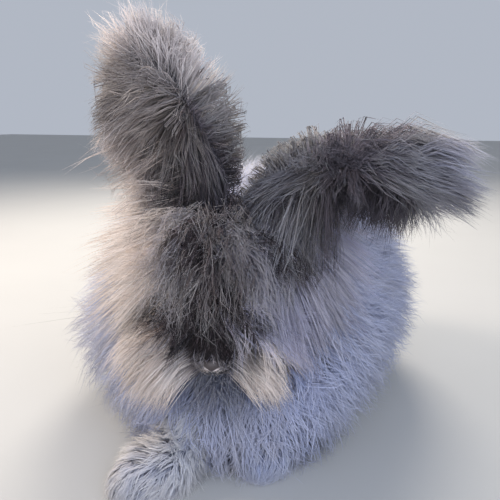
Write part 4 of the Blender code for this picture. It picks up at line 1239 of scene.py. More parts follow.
def crest_guides(name, count, chance):
    """An ear's longest wool: it leaves the blade near a line of its own, in a fan between two angles."""
    ear, wool = EARS[name], FORMS.ears[name]
    rings, facing, _, _ = blade_rings(ear, 60, 24, 0.0042, 0.0012)
    places, out = rings.reshape(-1, 3), facing.reshape(-1, 3)
    every = []
    for crest in ear["crests"]:
        start, end = np.array(crest["line"])
        run = end - start
        part = np.clip((places - start) @ run / (run @ run), 0.0, 1.0)
        near = np.linalg.norm(places - start - part[:, None] * run, axis=1)
        weight = np.exp(-((near / 0.010) ** 2))
        chosen = chance.choice(len(places), count, p=weight / weight.sum())
        turn = np.radians(chance.uniform(*crest["angles"], count))
        across = chance.normal(crest["front"], 0.35, count)
        heading = unit(np.stack([np.cos(turn), across, np.sin(turn)], axis=1) + out[chosen] * 0.15)
        limit = chance.uniform(-0.008, 0.010, count) + crest["past"] * chance.uniform(0.3, 1.0, count)
        roots = places[chosen] - out[chosen] * ROOT_DEPTH
        lengths = chance.uniform(*crest["lengths"], count)
        guides = drawn_guides(roots, heading, lengths, crest["droop"], wool.held_within(limit))
        hull = unit(slope_of(wool.distance, guides.lines[:, MARK_STEP]) + out[chosen] * 0.3)
        guides.normals = np.repeat(hull[:, None], STEPS + 1, axis=1)
        guides.marks = ear_marks(name, guides.lines[:, MARK_STEP])
        every.append(lock_together(guides, 7, chance, 0.35))
    parts = ("lines", "normals", "marks")
    return Guides(*(np.concatenate([getattr(guides, part) for guides in every]) for part in parts))


# The settings, the operators and the panel


# The colours of each coat at the heights of its wool.
COAT_HEIGHTS = ("root", "middle", "tip")
COAT_COLOURS = {
    "body": ((0.18, 0.20, 0.31), (0.30, 0.335, 0.53), (0.43, 0.47, 0.70)),
    "head": ((0.06, 0.052, 0.056), (0.155, 0.137, 0.150), (0.36, 0.32, 0.33)),
    "ear": ((0.03, 0.027, 0.032), (0.052, 0.043, 0.046), (0.26, 0.212, 0.205)),
    "foot": ((0.28, 0.30, 0.40), (0.43, 0.44, 0.55), (0.76, 0.73, 0.71)),
}
# The tips of the left ear's wool, and what the fur is multiplied by on all feet but the right forefoot:
# painted shade, darker and bluer, for the feet that lie in shadow.
LEFT_EAR_TIP = (0.30, 0.30, 0.37)
FOOT_PAINTED_SHADE = (0.62, 0.68, 0.86)


def colour_property(name, description, default):
    return bpy.props.FloatVectorProperty(
        name=name, description=description, subtype="COLOR", size=3, min=0.0, max=1.0, default=default
    )


class RabbitSettings(bpy.types.PropertyGroup):
    """What a user would change about the rabbit's skin and wool."""

    voxel: bpy.props.FloatProperty(
        name="Skin grain", description="Size of the cells of the skin", default=0.0018, unit="LENGTH"
    )
    density: bpy.props.FloatProperty(
        name="Density", description="Share of the full number of tufts", default=1.0, min=0.05, max=1.0
    )
    tuft_width: bpy.props.FloatProperty(
        name="Tuft width", description="Width of a body tuft at its middle", default=0.00064, unit="LENGTH"
    )
    # Warm and Pale also paint sunlight on the right side of the head.
    warm: colour_property("Warm", "Where the wool of the head is warm", (0.56, 0.40, 0.31))
    pale: colour_property("Pale", "Where the wool of the head is pale", (0.92, 0.77, 0.68))


for coat, colours in COAT_COLOURS.items():
    for height, colour in zip(COAT_HEIGHTS, colours):
        RabbitSettings.__annotations__[f"{coat}_{height}"] = colour_property(
            f"{coat.capitalize()} {height}", f"Wool of the {coat} at its {height}", colour
        )


def coat_colours(settings, coat):
    """A coat's colours at its roots, its middle and its tips."""
    return [getattr(settings, f"{coat}_{height}") for height in COAT_HEIGHTS]


class RABBIT_OT_skin(bpy.types.Operator):
    """Build one closed skin over the whole body: lobes, ears, nose, lips and lids"""

    bl_idname = "rabbit.skin"
    bl_label = "Skin"

    def execute(self, context):
        parts = []
        for name, flesh in FORMS.parts.items():
            if name in SKIN_SHARES:
                parts.append(flesh_arrays(flesh, SKIN_SHARES[name]))
                continue
            for centre, radii, _ in flesh.lobes:
                parts.append(ellipsoid_arrays(flesh.axes, centre, radii, rows=24, columns=36))
        for ear in EARS.values():
            rings, _, line, half = blade_rings(ear, 30, 13, 0.0052, 0.0036)
            ends = np.array([line[0], line[-1]]) + (rings[[0, -1]].mean(axis=1) - line[[0, -1]])
            out = np.array([line[0] - line[1], (line[-1] - line[-2]) * 0.7])
            ends = ends + unit(out) * half[[0, -1]][:, None] * 0.8
            parts.append(closed_grid(rings, *ends))
        axes = FORMS.head_turn
        parts.append(ellipsoid_arrays(axes, *CHIN))
        (back, aside, up), radii = LIP_PAD
        for side in (1, -1):
            parts.append(ellipsoid_arrays(axes, (back, aside * side, up), radii))
        for centre in EYE_CENTRES:
            parts.append(ellipsoid_arrays(axes, centre, (EYE_RADIUS + LID_THICKNESS,) * 3))
        points, faces = joined(parts)
        skin = new_piece("skin", points + FORMS.shift, faces, None)
        step = skin.modifiers.new("remesh", "REMESH")
        step.mode = "VOXEL"
        step.voxel_size = context.scene.rabbit.voxel
        step = skin.modifiers.new("smooth", "SMOOTH")
        step.factor = 0.5
        step.iterations = 5
        step = skin.modifiers.new("thin", "DECIMATE")
        step.ratio = 0.6
        applied(skin)
        cut_openings(skin)
        lift = np.empty(len(skin.data.vertices) * 3, np.float32)
        skin.data.vertices.foreach_get("co", lift)
        lift = lift.reshape(-1, 3)
        lift[:, 2] = np.maximum(lift[:, 2], FLOOR / 2)
        skin.data.vertices.foreach_set("co", lift.ravel())
        skin.data.polygons.foreach_set("use_smooth", np.ones(len(skin.data.polygons), bool))
        skin.data.materials.clear()
        skin.data.materials.append(skin_material())
        places = lift.astype(float) - FORMS.shift
        ears = [ear.distance(places) for ear in FORMS.ears.values()]
        headed = eased(np.minimum.reduce([FORMS.head.distance(places, 0.5), *ears]), 0.012, -0.004)
        marks = face_marks(places) * headed[:, None]
        for (name, ear), distance in zip(FORMS.ears.items(), ears):
            marks = np.where((distance < 0.0)[:, None], ear_marks(name, places), marks)
        for column, label in enumerate(MARKS):
            add_attribute(skin, label, marks[:, column])
        add_attribute(skin, "headed", headed)
        skin.data.update()
        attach(skin, "root")
        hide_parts("torso", "neck", "head", "tail", "ear_right", "ear_left", *FOOT_PLACES)
        return {"FINISHED"}


def applied(obj):
    """Puts the modifiers' result in the object's mesh."""
    bpy.context.view_layer.update()
    graph = bpy.context.evaluated_depsgraph_get()
    made = bpy.data.meshes.new_from_object(obj.evaluated_get(graph))
    obj.modifiers.clear()
    obj.data = made


def cut_openings(skin):
    """Cuts the mouth's line and the gap between each pair of lids out of the skin."""
    axes = FORMS.head_turn
    cuts = [ellipsoid_arrays(axes, *MOUTH)]
    for centre, look in zip(EYE_CENTRES, EYE_LOOKS):
        eye, look = Vector(centre), Vector(look).normalized()
        cuts.append(ellipsoid_arrays(axes, eye + look * LID_OPENING_OUT, LID_OPENING, look))
        cuts.append(ellipsoid_arrays(axes, eye, (EYE_RADIUS + EYE_CLEARANCE,) * 3, rows=24, columns=36))
    points, faces = joined(cuts)
    tool = new_piece("openings", points + FORMS.shift, faces, None)
    step = skin.modifiers.new("openings", "BOOLEAN")
    step.operation = "DIFFERENCE"
    step.object = tool
    step.solver = "MANIFOLD"
    applied(skin)
    bpy.data.objects.remove(tool)


class RABBIT_OT_eyes(bpy.types.Operator):
    """Build the two eyes with a raised cornea, a dark brown iris and a wide pupil"""

    bl_idname = "rabbit.eyes"
    bl_label = "Eyes"

    def execute(self, context):
        rings = ball_grid(38, 56)
        bulge = 1.0 + CORNEA_RISE * eased(rings[:, :, 2], 0.72, 0.95)
        radius = EYE_RADIUS * GLOBE_SHARE
        pole = np.array((0.0, 0.0, radius * (1.0 + CORNEA_RISE)))
        rear = np.array((0.0, 0.0, -radius))
        for name, centre, look in zip(("eye_right", "eye_left"), EYE_CENTRES, EYE_LOOKS):
            centre = placed(centre)
            look = unit(FORMS.head.axes[:3, :3] @ np.array(look))
            turn = np.array(Vector(look).to_track_quat("Z", "Y").to_matrix())
            points, faces = closed_grid(rings * bulge[:, :, None] * radius, pole, rear)
            points = points @ turn.T + centre
            material = eye_material(name, centre, look)
            globe = new_piece(name + "_globe", points, outward(points, faces), material)
            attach(globe, "root")
            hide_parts(name)
        return {"FINISHED"}


def eye_material(name, centre, look):
    """Wet dark brown: rings about the direction of the look, the pupil black, the iris streaked."""
    material, tree, shader = new_material(name + "_wet", 0.06)
    shader.inputs["Coat Weight"].default_value = 1.0
    coordinates = tree.nodes.new("ShaderNodeTexCoord").outputs["Object"]
    offset = vector_maths(tree, "SUBTRACT", coordinates, centre)
    facing = vector_maths(tree, "DOT_PRODUCT", offset.outputs[0], look / EYE_RADIUS).outputs["Value"]
    streaks = noise(tree, 900.0, 5.0)
    brown = mixed(tree, streaks, (0.035, 0.014, 0.006), (0.11, 0.05, 0.022))
    pupil = maths(tree, "GREATER_THAN", facing, 0.86)
    white = maths(tree, "LESS_THAN", facing, 0.42)
    colour = mixed(tree, pupil, brown, (0.004, 0.003, 0.003))
    colour = mixed(tree, white, colour, (0.20, 0.15, 0.13))
    tree.links.new(colour, shader.inputs["Base Color"])
    tree.links.new(maths(tree, "MULTIPLY_ADD", streaks, 0.06, 0.03), shader.inputs["Roughness"])
    return material


class RABBIT_OT_face(bpy.types.Operator):
    """Build the nose with its nostrils and cleft, and the whiskers"""

    bl_idname = "rabbit.face"
    bl_label = "Nose and whiskers"

    def execute(self, context):
        centre, radii = (np.array(item) for item in NOSE_PAD)
        rings = ball_grid(60, 84)
        back, aside, up = rings[:, :, 0], rings[:, :, 1], rings[:, :, 2]
        front = eased(-back, 0.0, 0.5)
        slit = np.exp(-(((np.abs(aside) - 0.52 - 0.25 * up) / 0.17) ** 2) - ((up + 0.05) / 0.26) ** 2)
        cleft = np.exp(-((aside / 0.07) ** 2)) * eased(-up, -0.25, 0.35)
        dent = 1.0 - front * (0.34 * slit + 0.16 * cleft)
        radii = radii * NOSE_LEATHER
        local = rings * radii * dent[:, :, None] + centre
        shape = FORMS.head.place_all(local) + FORMS.shift
        ends = [placed(centre + np.array((0, 0, side * radii[2]))) for side in (1, -1)]
        points, faces = closed_grid(shape, *ends)
        material, tree, shader = new_material("nose_leather", 0.45)
        grain = noise(tree, 1900.0, 3.0)
        colour = mixed(tree, noise(tree, 500.0), (0.030, 0.023, 0.023), (0.065, 0.050, 0.050))
        for side in (1.0, -1.0):
            lip = near_spot(tree, placed((-0.0030, side * 0.0036, -0.0006)), (1.0, 1.0, 0.8), 0.0020, 0.0044)
            colour = mixed(tree, lip, colour, (0.70, 0.62, 0.60))
        tree.links.new(colour, shader.inputs["Base Color"])
        tree.links.new(maths(tree, "MULTIPLY_ADD", grain, 0.25, 0.35), shader.inputs["Roughness"])
        add_bump(tree, shader, grain, 0.5, 0.0004)
        nose = new_piece("nose_pad", points, outward(points, faces), material)
        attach(nose, "root")
        add_whiskers()
        return {"FINISHED"}


def add_whiskers():
    """Long thin hairs of the lips: each leaves sideways and droops, tapering to a point."""
    chance = np.random.default_rng(SEED + 5)
    count = 22
    side = np.where(np.arange(count) % 2 == 0, 1.0, -1.0)
    row = (np.arange(count) // 2) / (count / 2)
    local = np.stack([0.008 + 0.010 * row, side * 0.0115, -0.007 + 0.007 * np.sin(row * 9.0)], axis=1)
    roots = FORMS.head.place_all(local)
    aim = np.stack([-0.15 + 0.5 * row, side * 1.0, chance.normal(-0.05, 0.22, count)], axis=1)
    aim = unit(aim @ FORMS.head.axes[:3, :3].T)
    length = chance.uniform(0.035, 0.060, count)
    part = np.linspace(0.0, 1.0, STEPS + 1)[None, :, None]
    lines = roots[:, None] + aim[:, None] * length[:, None, None] * part + DOWN * 0.016 * part**2
    normals = np.repeat(aim[:, None], STEPS + 1, axis=1)
    heights = ((0.05, 0.045, 0.045), (0.25, 0.23, 0.23), (0.6, 0.58, 0.56))
    material = wool_material("whisker", heights, (0.3, 0.25, 0.2))
    kind = TuftKind(each=1, spread=0.0, width=0.00032, wave=0.0, shorter=0.1)
    unwrap = unwrap_about(FORMS.head.start)
    coat_piece("whiskers", Guides(lines, normals), unwrap, chance, material, kind)


class RABBIT_OT_claws(bpy.types.Operator):
    """Build curved claws, four on each forefoot and three on each hind foot, short horn cones that bend down
    to the floor
    """

    bl_idname = "rabbit.claws"
    bl_label = "Claws"

    def execute(self, context):
        parts = []
        steps = np.linspace(0.0, 1.0, 7)
        size = CLAW_RADIUS * (1.0 - 0.93 * steps)
        turn = np.linspace(0.0, FULL_TURN, 8, endpoint=False)
        for name in FOOT_PLACES:
            leg = FORMS.parts[name]
            toes = leg.lobes[1:5] if "fore" in name else leg.lobes[1:4]
            for centre, radii, _ in toes:
                path = np.zeros((len(steps), 3))
                path[:, 0] = centre[0] + radii[0] * 0.8 + CLAW_LENGTH * np.sin(steps * 1.1)
                path[:, 1] = centre[1]
                path[:, 2] = centre[2] - CLAW_LENGTH * 0.62 * steps**1.8
                rings = np.repeat(path[:, None, :], len(turn), axis=1)
                rings[:, :, 1] += np.cos(turn)[None] * size[:, None] * 0.7
                rings[:, :, 2] += np.sin(turn)[None] * size[:, None]
                rings[:, :, 2] = np.maximum(rings[:, :, 2], 0.0008)
                ends = path[0] - np.array((0.001, 0, 0)), path[-1] + np.array((0.0004, 0, 0))
                some, faces = closed_grid(rings, *ends)
                parts.append((leg.place_all(some), faces))
        points, faces = joined(parts)
        material, tree, shader = new_material("claw_horn", 0.35)
        colour = mixed(tree, noise(tree, 700.0, 4.0), (0.10, 0.075, 0.06), (0.30, 0.24, 0.19))
        tree.links.new(colour, shader.inputs["Base Color"])
        rough = maths(tree, "MULTIPLY_ADD", noise(tree, 1200.0), 0.3, 0.25)
        tree.links.new(rough, shader.inputs["Roughness"])
        claws = new_piece("claws", points + FORMS.shift, faces, material)
        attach(claws, "root")
        return {"FINISHED"}


def thinned(context, count):
    return int(count * context.scene.rabbit.density * (1.0))


def fuller(points):
    """How much further the wool stands out low on the right side, which lies loose over the bent elbow."""
    low = 0.38 * (1.0 - eased(points[:, 2], 0.07, 0.13)) + 0.30 * (1.0 - eased(points[:, 2], 0.025, 0.065))
    return low * eased(-points[:, 0], 0.05, 0.12)


def painted_throat_shadow(points):
    """Painted shadow under the chin: how dark the chest's wool is painted, most under the chin, and less down
    to the breast.
    """
    chin = FORMS.head.place(np.array(CHIN[0]))
    offset = points - chin - np.array((0.0, 0.0, -0.012))
    away = np.linalg.norm(offset / np.array((0.054, 0.046, 0.040)), axis=1)
    return 0.9 * (1.0 - eased(away, 0.55, 1.35))


class RABBIT_OT_body_wool(bpy.types.Operator):
    """Grow the long wool of the body, the neck and the tail"""

    bl_idname = "rabbit.body_wool"
    bl_label = "Body wool"

    def execute(self, context):
        settings = context.scene.rabbit
        chance = np.random.default_rng(SEED)
        stain = (0.36, 0.33, 0.33)
        # The Dark colour paints the shadow under the chin, and Warm the sunlight on the right flank.
        dark, warm = (0.045, 0.050, 0.080), (0.56, 0.50, 0.50)
        marks = (("Dark", dark), ("Warm", warm), ("Pale", stain), ("Cool", stain))
        material = wool_material("body_wool", coat_colours(settings, "body"), stain, 0.40, marks)
        torso, neck = FORMS.parts["torso"], FORMS.parts["neck"]
        heads = [FORMS.head.distance, *(ear.distance for ear in FORMS.ears.values())]
        roots = rooted(torso, thinned(context, COUNTS["torso"]), chance, SKIN_SHARES["torso"])
        roots = roots[(torso.slope(roots)[:, 2] > -0.90) & (roots[:, 2] > 0.008)]
        roots = roots[outside(roots, heads[:1], -0.030) & outside(roots, [neck.distance], -0.020)]
        guides = grow_guides(
            torso, roots, chance, body_lie, 0.042, (0.92, 1.24), swing=0.6, curl=0.9, over=heads, more=fuller
        )
        guides = lock_together(lock_together(guides, 12, chance, 0.28), 50, chance, 0.20)
        # Painted shadow on the chest under the chin.
        guides.marks[:, 0] = painted_throat_shadow(guides.lines[:, MARK_STEP])
        # Painted sunlight: warm on the front of the right flank, the side that the sun falls on.
        guides.marks[:, 1] = 0.6 * eased(-roots[:, 0], 0.06, 0.13) * (1.0 - eased(roots[:, 1], -0.06, 0.02))
        width = settings.tuft_width
        locks = TuftKind(each=5, spread=0.0055, width=width, wave=0.0030, close=(-0.1, 0.7))
        loose = TuftKind(
            each=11, spread=0.0070, width=width * 0.9, wave=0.0036, close=(-0.4, 0.4), rings=FEW_RINGS
        )
        for index, some in enumerate(split(guides, 4)):
            kind = locks if index < 2 else loose
            piece = f"wool_body_{index + 1}"
            coat_piece(piece, some, unwrap_about(torso.start), chance, material, kind)
        kind = TuftKind(each=8, spread=0.0050, width=width, wave=0.0028, rings=FEW_RINGS)
        for name, lie, travel, over in (("neck", body_lie, 0.042, heads), ("tail", tail_lie, 0.024, ())):
            flesh = FORMS.parts[name]
            roots = rooted(flesh, thinned(context, COUNTS[name]), chance, SKIN_SHARES[name])
            roots = roots[outside(roots, [lambda places: torso.distance(places, 0.3)], -0.004)]
            roots = roots[outside(roots, over[:1], -0.030)]
            guides = grow_guides(flesh, roots, chance, lie, travel, (0.80, 1.06), over=over)
            guides = lock_together(guides, 10, chance, 0.4)
            unwrap = unwrap_about(flesh.start)
            coat_piece(f"wool_{name}", guides, unwrap, chance, material, kind)
        return {"FINISHED"}


class RABBIT_OT_head_wool(bpy.types.Operator):
    """Grow the wool of the forehead, the cheeks and the beard, and the short fur of the muzzle"""

    bl_idname = "rabbit.head_wool"
    bl_label = "Head wool"

    def execute(self, context):
        settings = context.scene.rabbit
        chance = np.random.default_rng(SEED + 1)
        head = FORMS.head
        # Dark also paints the shadows around the eyes and under the mouth, and Warm and Pale the sunlight on
        # the face's right side.
        marks = (
            ("Dark", (0.009, 0.007, 0.008)),
            ("Warm", settings.warm),
            ("Pale", settings.pale),
            ("Cool", (0.57, 0.55, 0.79)),
        )
        colours = coat_colours(settings, "head")
        material = wool_material("head_wool", colours, (0.26, 0.20, 0.16), 0.6, marks)
        roots = rooted(head, thinned(context, COUNTS["head"]), chance, SKIN_SHARES["head"])
        local = head.local(roots)
        keep = np.ones(len(roots), bool)
        for centre, look in zip(EYE_CENTRES, EYE_LOOKS):
            look = unit(np.array(look))
            keep &= np.linalg.norm(local - np.array(centre) - look * EYE_RADIUS, axis=1) > LID_CLEARING
        keep &= np.linalg.norm((local - np.array(NOSE_PAD[0])) / np.array(NOSE_PAD[1]), axis=1) > 1.15
        keep &= outside(roots, [lambda places: FORMS.parts["neck"].distance(places, 0.0)], 0.0)
        roots = roots[keep]
        ears = [ear.distance for ear in FORMS.ears.values()]

        def travel(points):
            place = head.local(points)
            return 0.016 + 0.026 * eased(place[:, 0], 0.012, 0.040)

        guides = grow_guides(
            head, roots, chance, head_lie, travel, (0.75, 1.05), over=ears, swing=0.35, curl=0.6
        )
        guides.marks = face_marks(guides.lines[:, MARK_STEP])
        guides = lock_together(guides, 10, chance, 0.4)
        plain = TuftKind(each=6, spread=0.0034, width=TUFT_WIDTH, wave=0.0024)
        short = TuftKind(each=6, spread=0.0024, width=TUFT_WIDTH, wave=0.0012, rings=FEW_RINGS)
        curly = TuftKind(each=8, spread=0.0045, width=TUFT_WIDTH, wave=0.0055, waves=2.0, rings=FINE_RINGS)
        flowing = TuftKind(each=7, spread=0.0050, width=0.0007, wave=0.0030, rings=FEW_RINGS)
        unwrap = unwrap_about(head.start)
        for index, some in enumerate(split(guides, 4)):
            coat_piece(f"wool_head_{index + 1}", some, unwrap, chance, material, plain)
        for coat, grow, kind in (
            ("beard", beard_guides, plain),
            ("muzzle", muzzle_guides, short),
            ("forelock", forelock_guides, curly),
        ):
            guides = grow(thinned(context, COUNTS[coat]), chance)
            coat_piece(f"wool_{coat}", guides, unwrap, chance, material, kind)
        guides = mane_guides(thinned(context, COUNTS["mane"]), chance)
        unwrap = unwrap_about(FORMS.parts["neck"].start)
        coat_piece("wool_mane", guides, unwrap, chance, material, flowing)
        return {"FINISHED"}


# How the outer side of loose wool leans forwards and up from that of the flesh under it.
COAT_LEAN = np.array((0.0, -0.35, 0.25))

# The least of each marking in the loose wool at the neck's left side and at its right: on the left, in shade,
# painted shade that is dark and cool; on the right, in the sun, painted sunlight that is warm and pale.
PAINTED_SHADE_SIDE = (0.40, 0.0, 0.0, 0.60)
PAINTED_SUN_SIDE = (0.0, 0.60, 0.55, 0.0)
# The whitish edge of the split upper lip.
LIP_MARKS = np.array((0.0, 0.0, 0.60, 0.0))
# Behind the ears that wool takes on the colour of the body.
BLUE = np.array((0.0, 0.0, 0.0, 1.0))


def beard_guides(count, chance):
    """The long wool of the lips and jaws: it leaves to the side and forwards and hangs below the mouth."""
    head = FORMS.head
    roots = rooted(head, count, chance, SKIN_SHARES["head"])
    local = head.local(roots)
    back, aside, up = local.T
    keep = (back < 0.046) & (up < 0.004) & (np.abs(aside) > 0.0065) & (back > 0.004)
    roots, local = roots[keep], local[keep]
    side = np.sign(local[:, 1:2])
    aim = side * head.axes[:3, 1] * chance.uniform(0.7, 1.5, (len(roots), 1)) - head.axes[:3, 0] * 0.35
    aim = unit(aim + DOWN * 0.25 + head.slope(roots) * 0.35 + chance.normal(0.0, 0.12, (len(roots), 3)))
    length = chance.uniform(0.044, 0.066, len(roots)) * (0.75 + 0.25 * eased(local[:, 0], 0.006, 0.02))
    length = length * np.where(local[:, 1] > 0.0, 1.18, 1.0)
    guides = drawn_guides(roots, aim, length, 1.0)
    guides.marks = face_marks(guides.lines[:, MARK_STEP])
    guides.marks[:, 0] *= 0.15
    ends = head.local(guides.lines[:, 8])
    cheek = eased(face_height(ends), -0.006, 0.005) * eased(-ends[:, 1], 0.038, 0.052)
    guides.marks = np.maximum(guides.marks, (0.0, 0.10, 0.95, 0.0))
    guides.marks[:, 2] *= 1.0 - cheek
    guides.marks[:, 3] = 0.8 * cheek
    return lock_together(faced(guides, head), 9, chance, 0.45)


def faced(guides, flesh):
    """The guides, with the outer side of the coat taken from the flesh that they hang over."""
    sides = [unit(flesh.slope(guides.lines[:, step]) + COAT_LEAN) for step in range(STEPS + 1)]
    guides.normals = np.stack(sides, axis=1)
    return guides


def muzzle_guides(count, chance):
    """The short soft fur over the nose and upper lips: it leaves the middle and sweeps out to the cheeks."""
    head = FORMS.head
    roots = rooted(head, count, chance, SKIN_SHARES["head"])
    local = head.local(roots)
    keep = (local[:, 0] < 0.048) & (np.abs(local[:, 1]) < 0.032) & (local[:, 2] > -0.0105)
    aside = np.abs(local[:, 1])
    lip = (local[:, 0] < 0.008) & (aside > 0.0012) & (aside < 0.0050)
    lip &= np.abs(local[:, 2] + 0.0030) < 0.0018
    keep &= (aside > 0.0056) | (local[:, 2] > 0.0055) | lip
    keep &= outside(roots, [eye_distance], 0.0035)
    roots, local, lip = roots[keep], local[keep], lip[keep]
    outwards = local[:, 1:2] / (np.abs(local[:, 1:2]) + 0.004)
    aim = head.slope(roots) * 0.45 + outwards * head.axes[:3, 1] * 0.75 + DOWN * 0.30
    aim = unit(aim + chance.normal(0.0, 0.20, (len(roots), 3)))
    length = (0.003 + 0.016 * eased(local[:, 0], 0.002, 0.030)) * chance.uniform(0.7, 1.2, len(roots))
    guides = drawn_guides(roots, aim, np.where(lip, 0.0026, length), 0.5)
    guides.marks = np.where(lip[:, None], LIP_MARKS, face_marks(guides.lines[:, 5]))
    return lock_together(guides, 7, chance, 0.35)


def eye_distance(places):
    """How far places lie from the nearer eye's globe."""
    local = FORMS.head.local(places)
    gaps = [np.linalg.norm(local - np.array(centre), axis=1) for centre in EYE_CENTRES]
    return np.minimum(*gaps) - EYE_RADIUS


def forelock_guides(count, chance):
    """The long curly wool that starts between the ears and falls in disorder over the forehead."""
    head = FORMS.head
    roots = rooted(head, count, chance, 0.45)
    local = head.local(roots)
    back, aside, up = local.T
    keep = (np.abs(aside) < 0.026) & (back > 0.040) & (back < 0.105) & (up > 0.004)
    keep &= outside(roots, [ear.distance for ear in FORMS.ears.values()], -0.006)
    roots, local = roots[keep], local[keep]
    aim = head.slope(roots) * 0.7 - head.axes[:3, 0] * 0.8 + np.sign(local[:, 1:2]) * head.axes[:3, 1] * 0.2
    aim = unit(aim + chance.normal(0.0, 0.48, (len(roots), 3)))
    limit = chance.uniform(-0.004, 0.008, len(roots))

    def held(points):
        far = head.distance(points) - limit
        return points - head.slope(points) * np.where(far > 0.0, far, far * 0.25)[:, None]

    guides = drawn_guides(roots, aim, chance.uniform(0.036, 0.066, len(roots)), 1.1, held)
    ends = guides.lines[:, 7]
    middle = 1.0 - eased(np.abs(head.local(ends)[:, 1]), 0.010, 0.042)
    middle = middle * chance.uniform(0.4, 1.1, len(ends))
    guides.marks = face_marks(ends) * (1.0, 1.0, 1.0, 0.3)
    guides.marks = np.maximum(guides.marks, np.outer(middle, (0.36, 0.36, 0.0, 0.0)) + (0.38, 0.0, 0.0, 0.0))
    return lock_together(faced(guides, head), 6, chance, 0.35)


def mane_guides(count, chance):
    """The long loose wool behind the cheeks and below the ears, falling over the shoulders."""
    neck = FORMS.parts["neck"]
    roots = rooted(neck, count, chance, 0.5)
    side = roots[:, 0] - NECK[0][0][0]
    slope = neck.slope(roots)
    keep = (np.abs(side) > 0.018) & (slope[:, 2] > -0.35) & (roots[:, 1] < -0.045)
    keep &= outside(roots, [ear.distance for ear in FORMS.ears.values()], -0.012)
    roots, slope = roots[keep], slope[keep]
    aim = unit(slope + DOWN * 0.05 + np.array((0.0, -0.30, 0.0)) + chance.normal(0.0, 0.22, slope.shape))
    right = (roots[:, 0] < NECK[0][0][0])[:, None]
    length = chance.uniform(0.050, 0.082, len(roots)) * np.where(right[:, 0], 1.15, 1.0)
    guides = drawn_guides(roots, aim, length, np.where(right, 0.80, 1.15))
    ends = guides.lines[:, 7]
    # Painted shade on the shaded left side of the neck, and painted sunlight on its right.
    sides = np.where((ends[:, 0] > NECK[0][0][0])[:, None], PAINTED_SHADE_SIDE, PAINTED_SUN_SIDE)
    front = eased(-ends[:, 1], 0.055, 0.105)[:, None]
    guides.marks = np.maximum(face_marks(ends) * front, sides * front + BLUE * (1.0 - front))
    return lock_together(faced(guides, neck), 9, chance, 0.40)


class RABBIT_OT_ear_wool(bpy.types.Operator):
    """Grow the fan of long wool on each ear"""

    bl_idname = "rabbit.ear_wool"
    bl_label = "Ear wool"

    def execute(self, context):
        settings = context.scene.rabbit
        chance = np.random.default_rng(SEED + 2)
        root, middle, tip = coat_colours(settings, "ear")
        fan = TuftKind(each=6, spread=0.0042, width=TUFT_WIDTH, wave=0.0028, rings=FEW_RINGS)
        crest = TuftKind(each=6, spread=0.0050, width=TUFT_WIDTH, wave=0.0032, close=(-0.4, 0.6))
        # The right ear's pale is bright and warm partly as painted sunlight on its fringe; the left ear's
        # stays dim.
        for name, tip, pale in (
            ("ear_right", tip, (0.88, 0.75, 0.71)),
            ("ear_left", LEFT_EAR_TIP, (0.30, 0.30, 0.40)),
        ):
            marks = (
                ("Dark", (0.020, 0.018, 0.022)),
                ("Warm", (0.62, 0.48, 0.43)),
                ("Pale", pale),
                ("Cool", (0.22, 0.22, 0.31)),
            )
            material = wool_material(name + "_wool", (root, middle, tip), (0.20, 0.16, 0.15), 0.6, marks)
            unwrap = unwrap_ear(name)
            guides = lock_together(ear_guides(name, thinned(context, COUNTS["ear"]), chance), 8, chance, 0.30)
            coat_piece(f"wool_{name}", guides, unwrap, chance, material, fan)
            guides = crest_guides(name, thinned(context, EARS[name]["crest_guides"]), chance)
            coat_piece(f"crest_{name}", guides, unwrap, chance, material, crest)
        return {"FINISHED"}


class RABBIT_OT_foot_fur(bpy.types.Operator):
    """Grow the soft fur of the four feet"""

    bl_idname = "rabbit.foot_fur"
    bl_label = "Foot fur"

    def execute(self, context):
        settings = context.scene.rabbit
        chance = np.random.default_rng(SEED + 3)
        colours = np.array(coat_colours(settings, "foot"))
        made = {
            label: wool_material(f"foot_fur_{label}", (colours * shade).tolist(), (0.52, 0.47, 0.42), 0.35)
            for label, shade in (("pale", 1.0), ("blue", FOOT_PAINTED_SHADE))
        }
        kind = TuftKind(each=7, spread=0.0028, width=TUFT_WIDTH, wave=0.0014, rings=FEW_RINGS)
        for name in FOOT_PLACES:
            # Every foot but the right forefoot takes the painted shade.
            material = made["pale" if name == "foreleg_right" else "blue"]
            leg = FORMS.parts[name]
            limb = name.split("_")[0]
            roots = rooted(leg, thinned(context, COUNTS[limb]), chance, 0.0)
            roots = roots[roots[:, 2] > 0.002]
            roots = roots[outside(roots, [lambda places: FORMS.parts["torso"].distance(places, 0.3)], 0.0)]
            travel = 0.020 if limb == "foreleg" else 0.010
            guides = grow_guides(leg, roots, chance, foot_lie_of(leg), travel, (0.7, 1.15), rise=1.2)
            guides = lock_together(guides, 10, chance, 0.35)
            coat_piece(f"fur_{name}", guides, unwrap_about(leg.start), chance, material, kind)
        return {"FINISHED"}


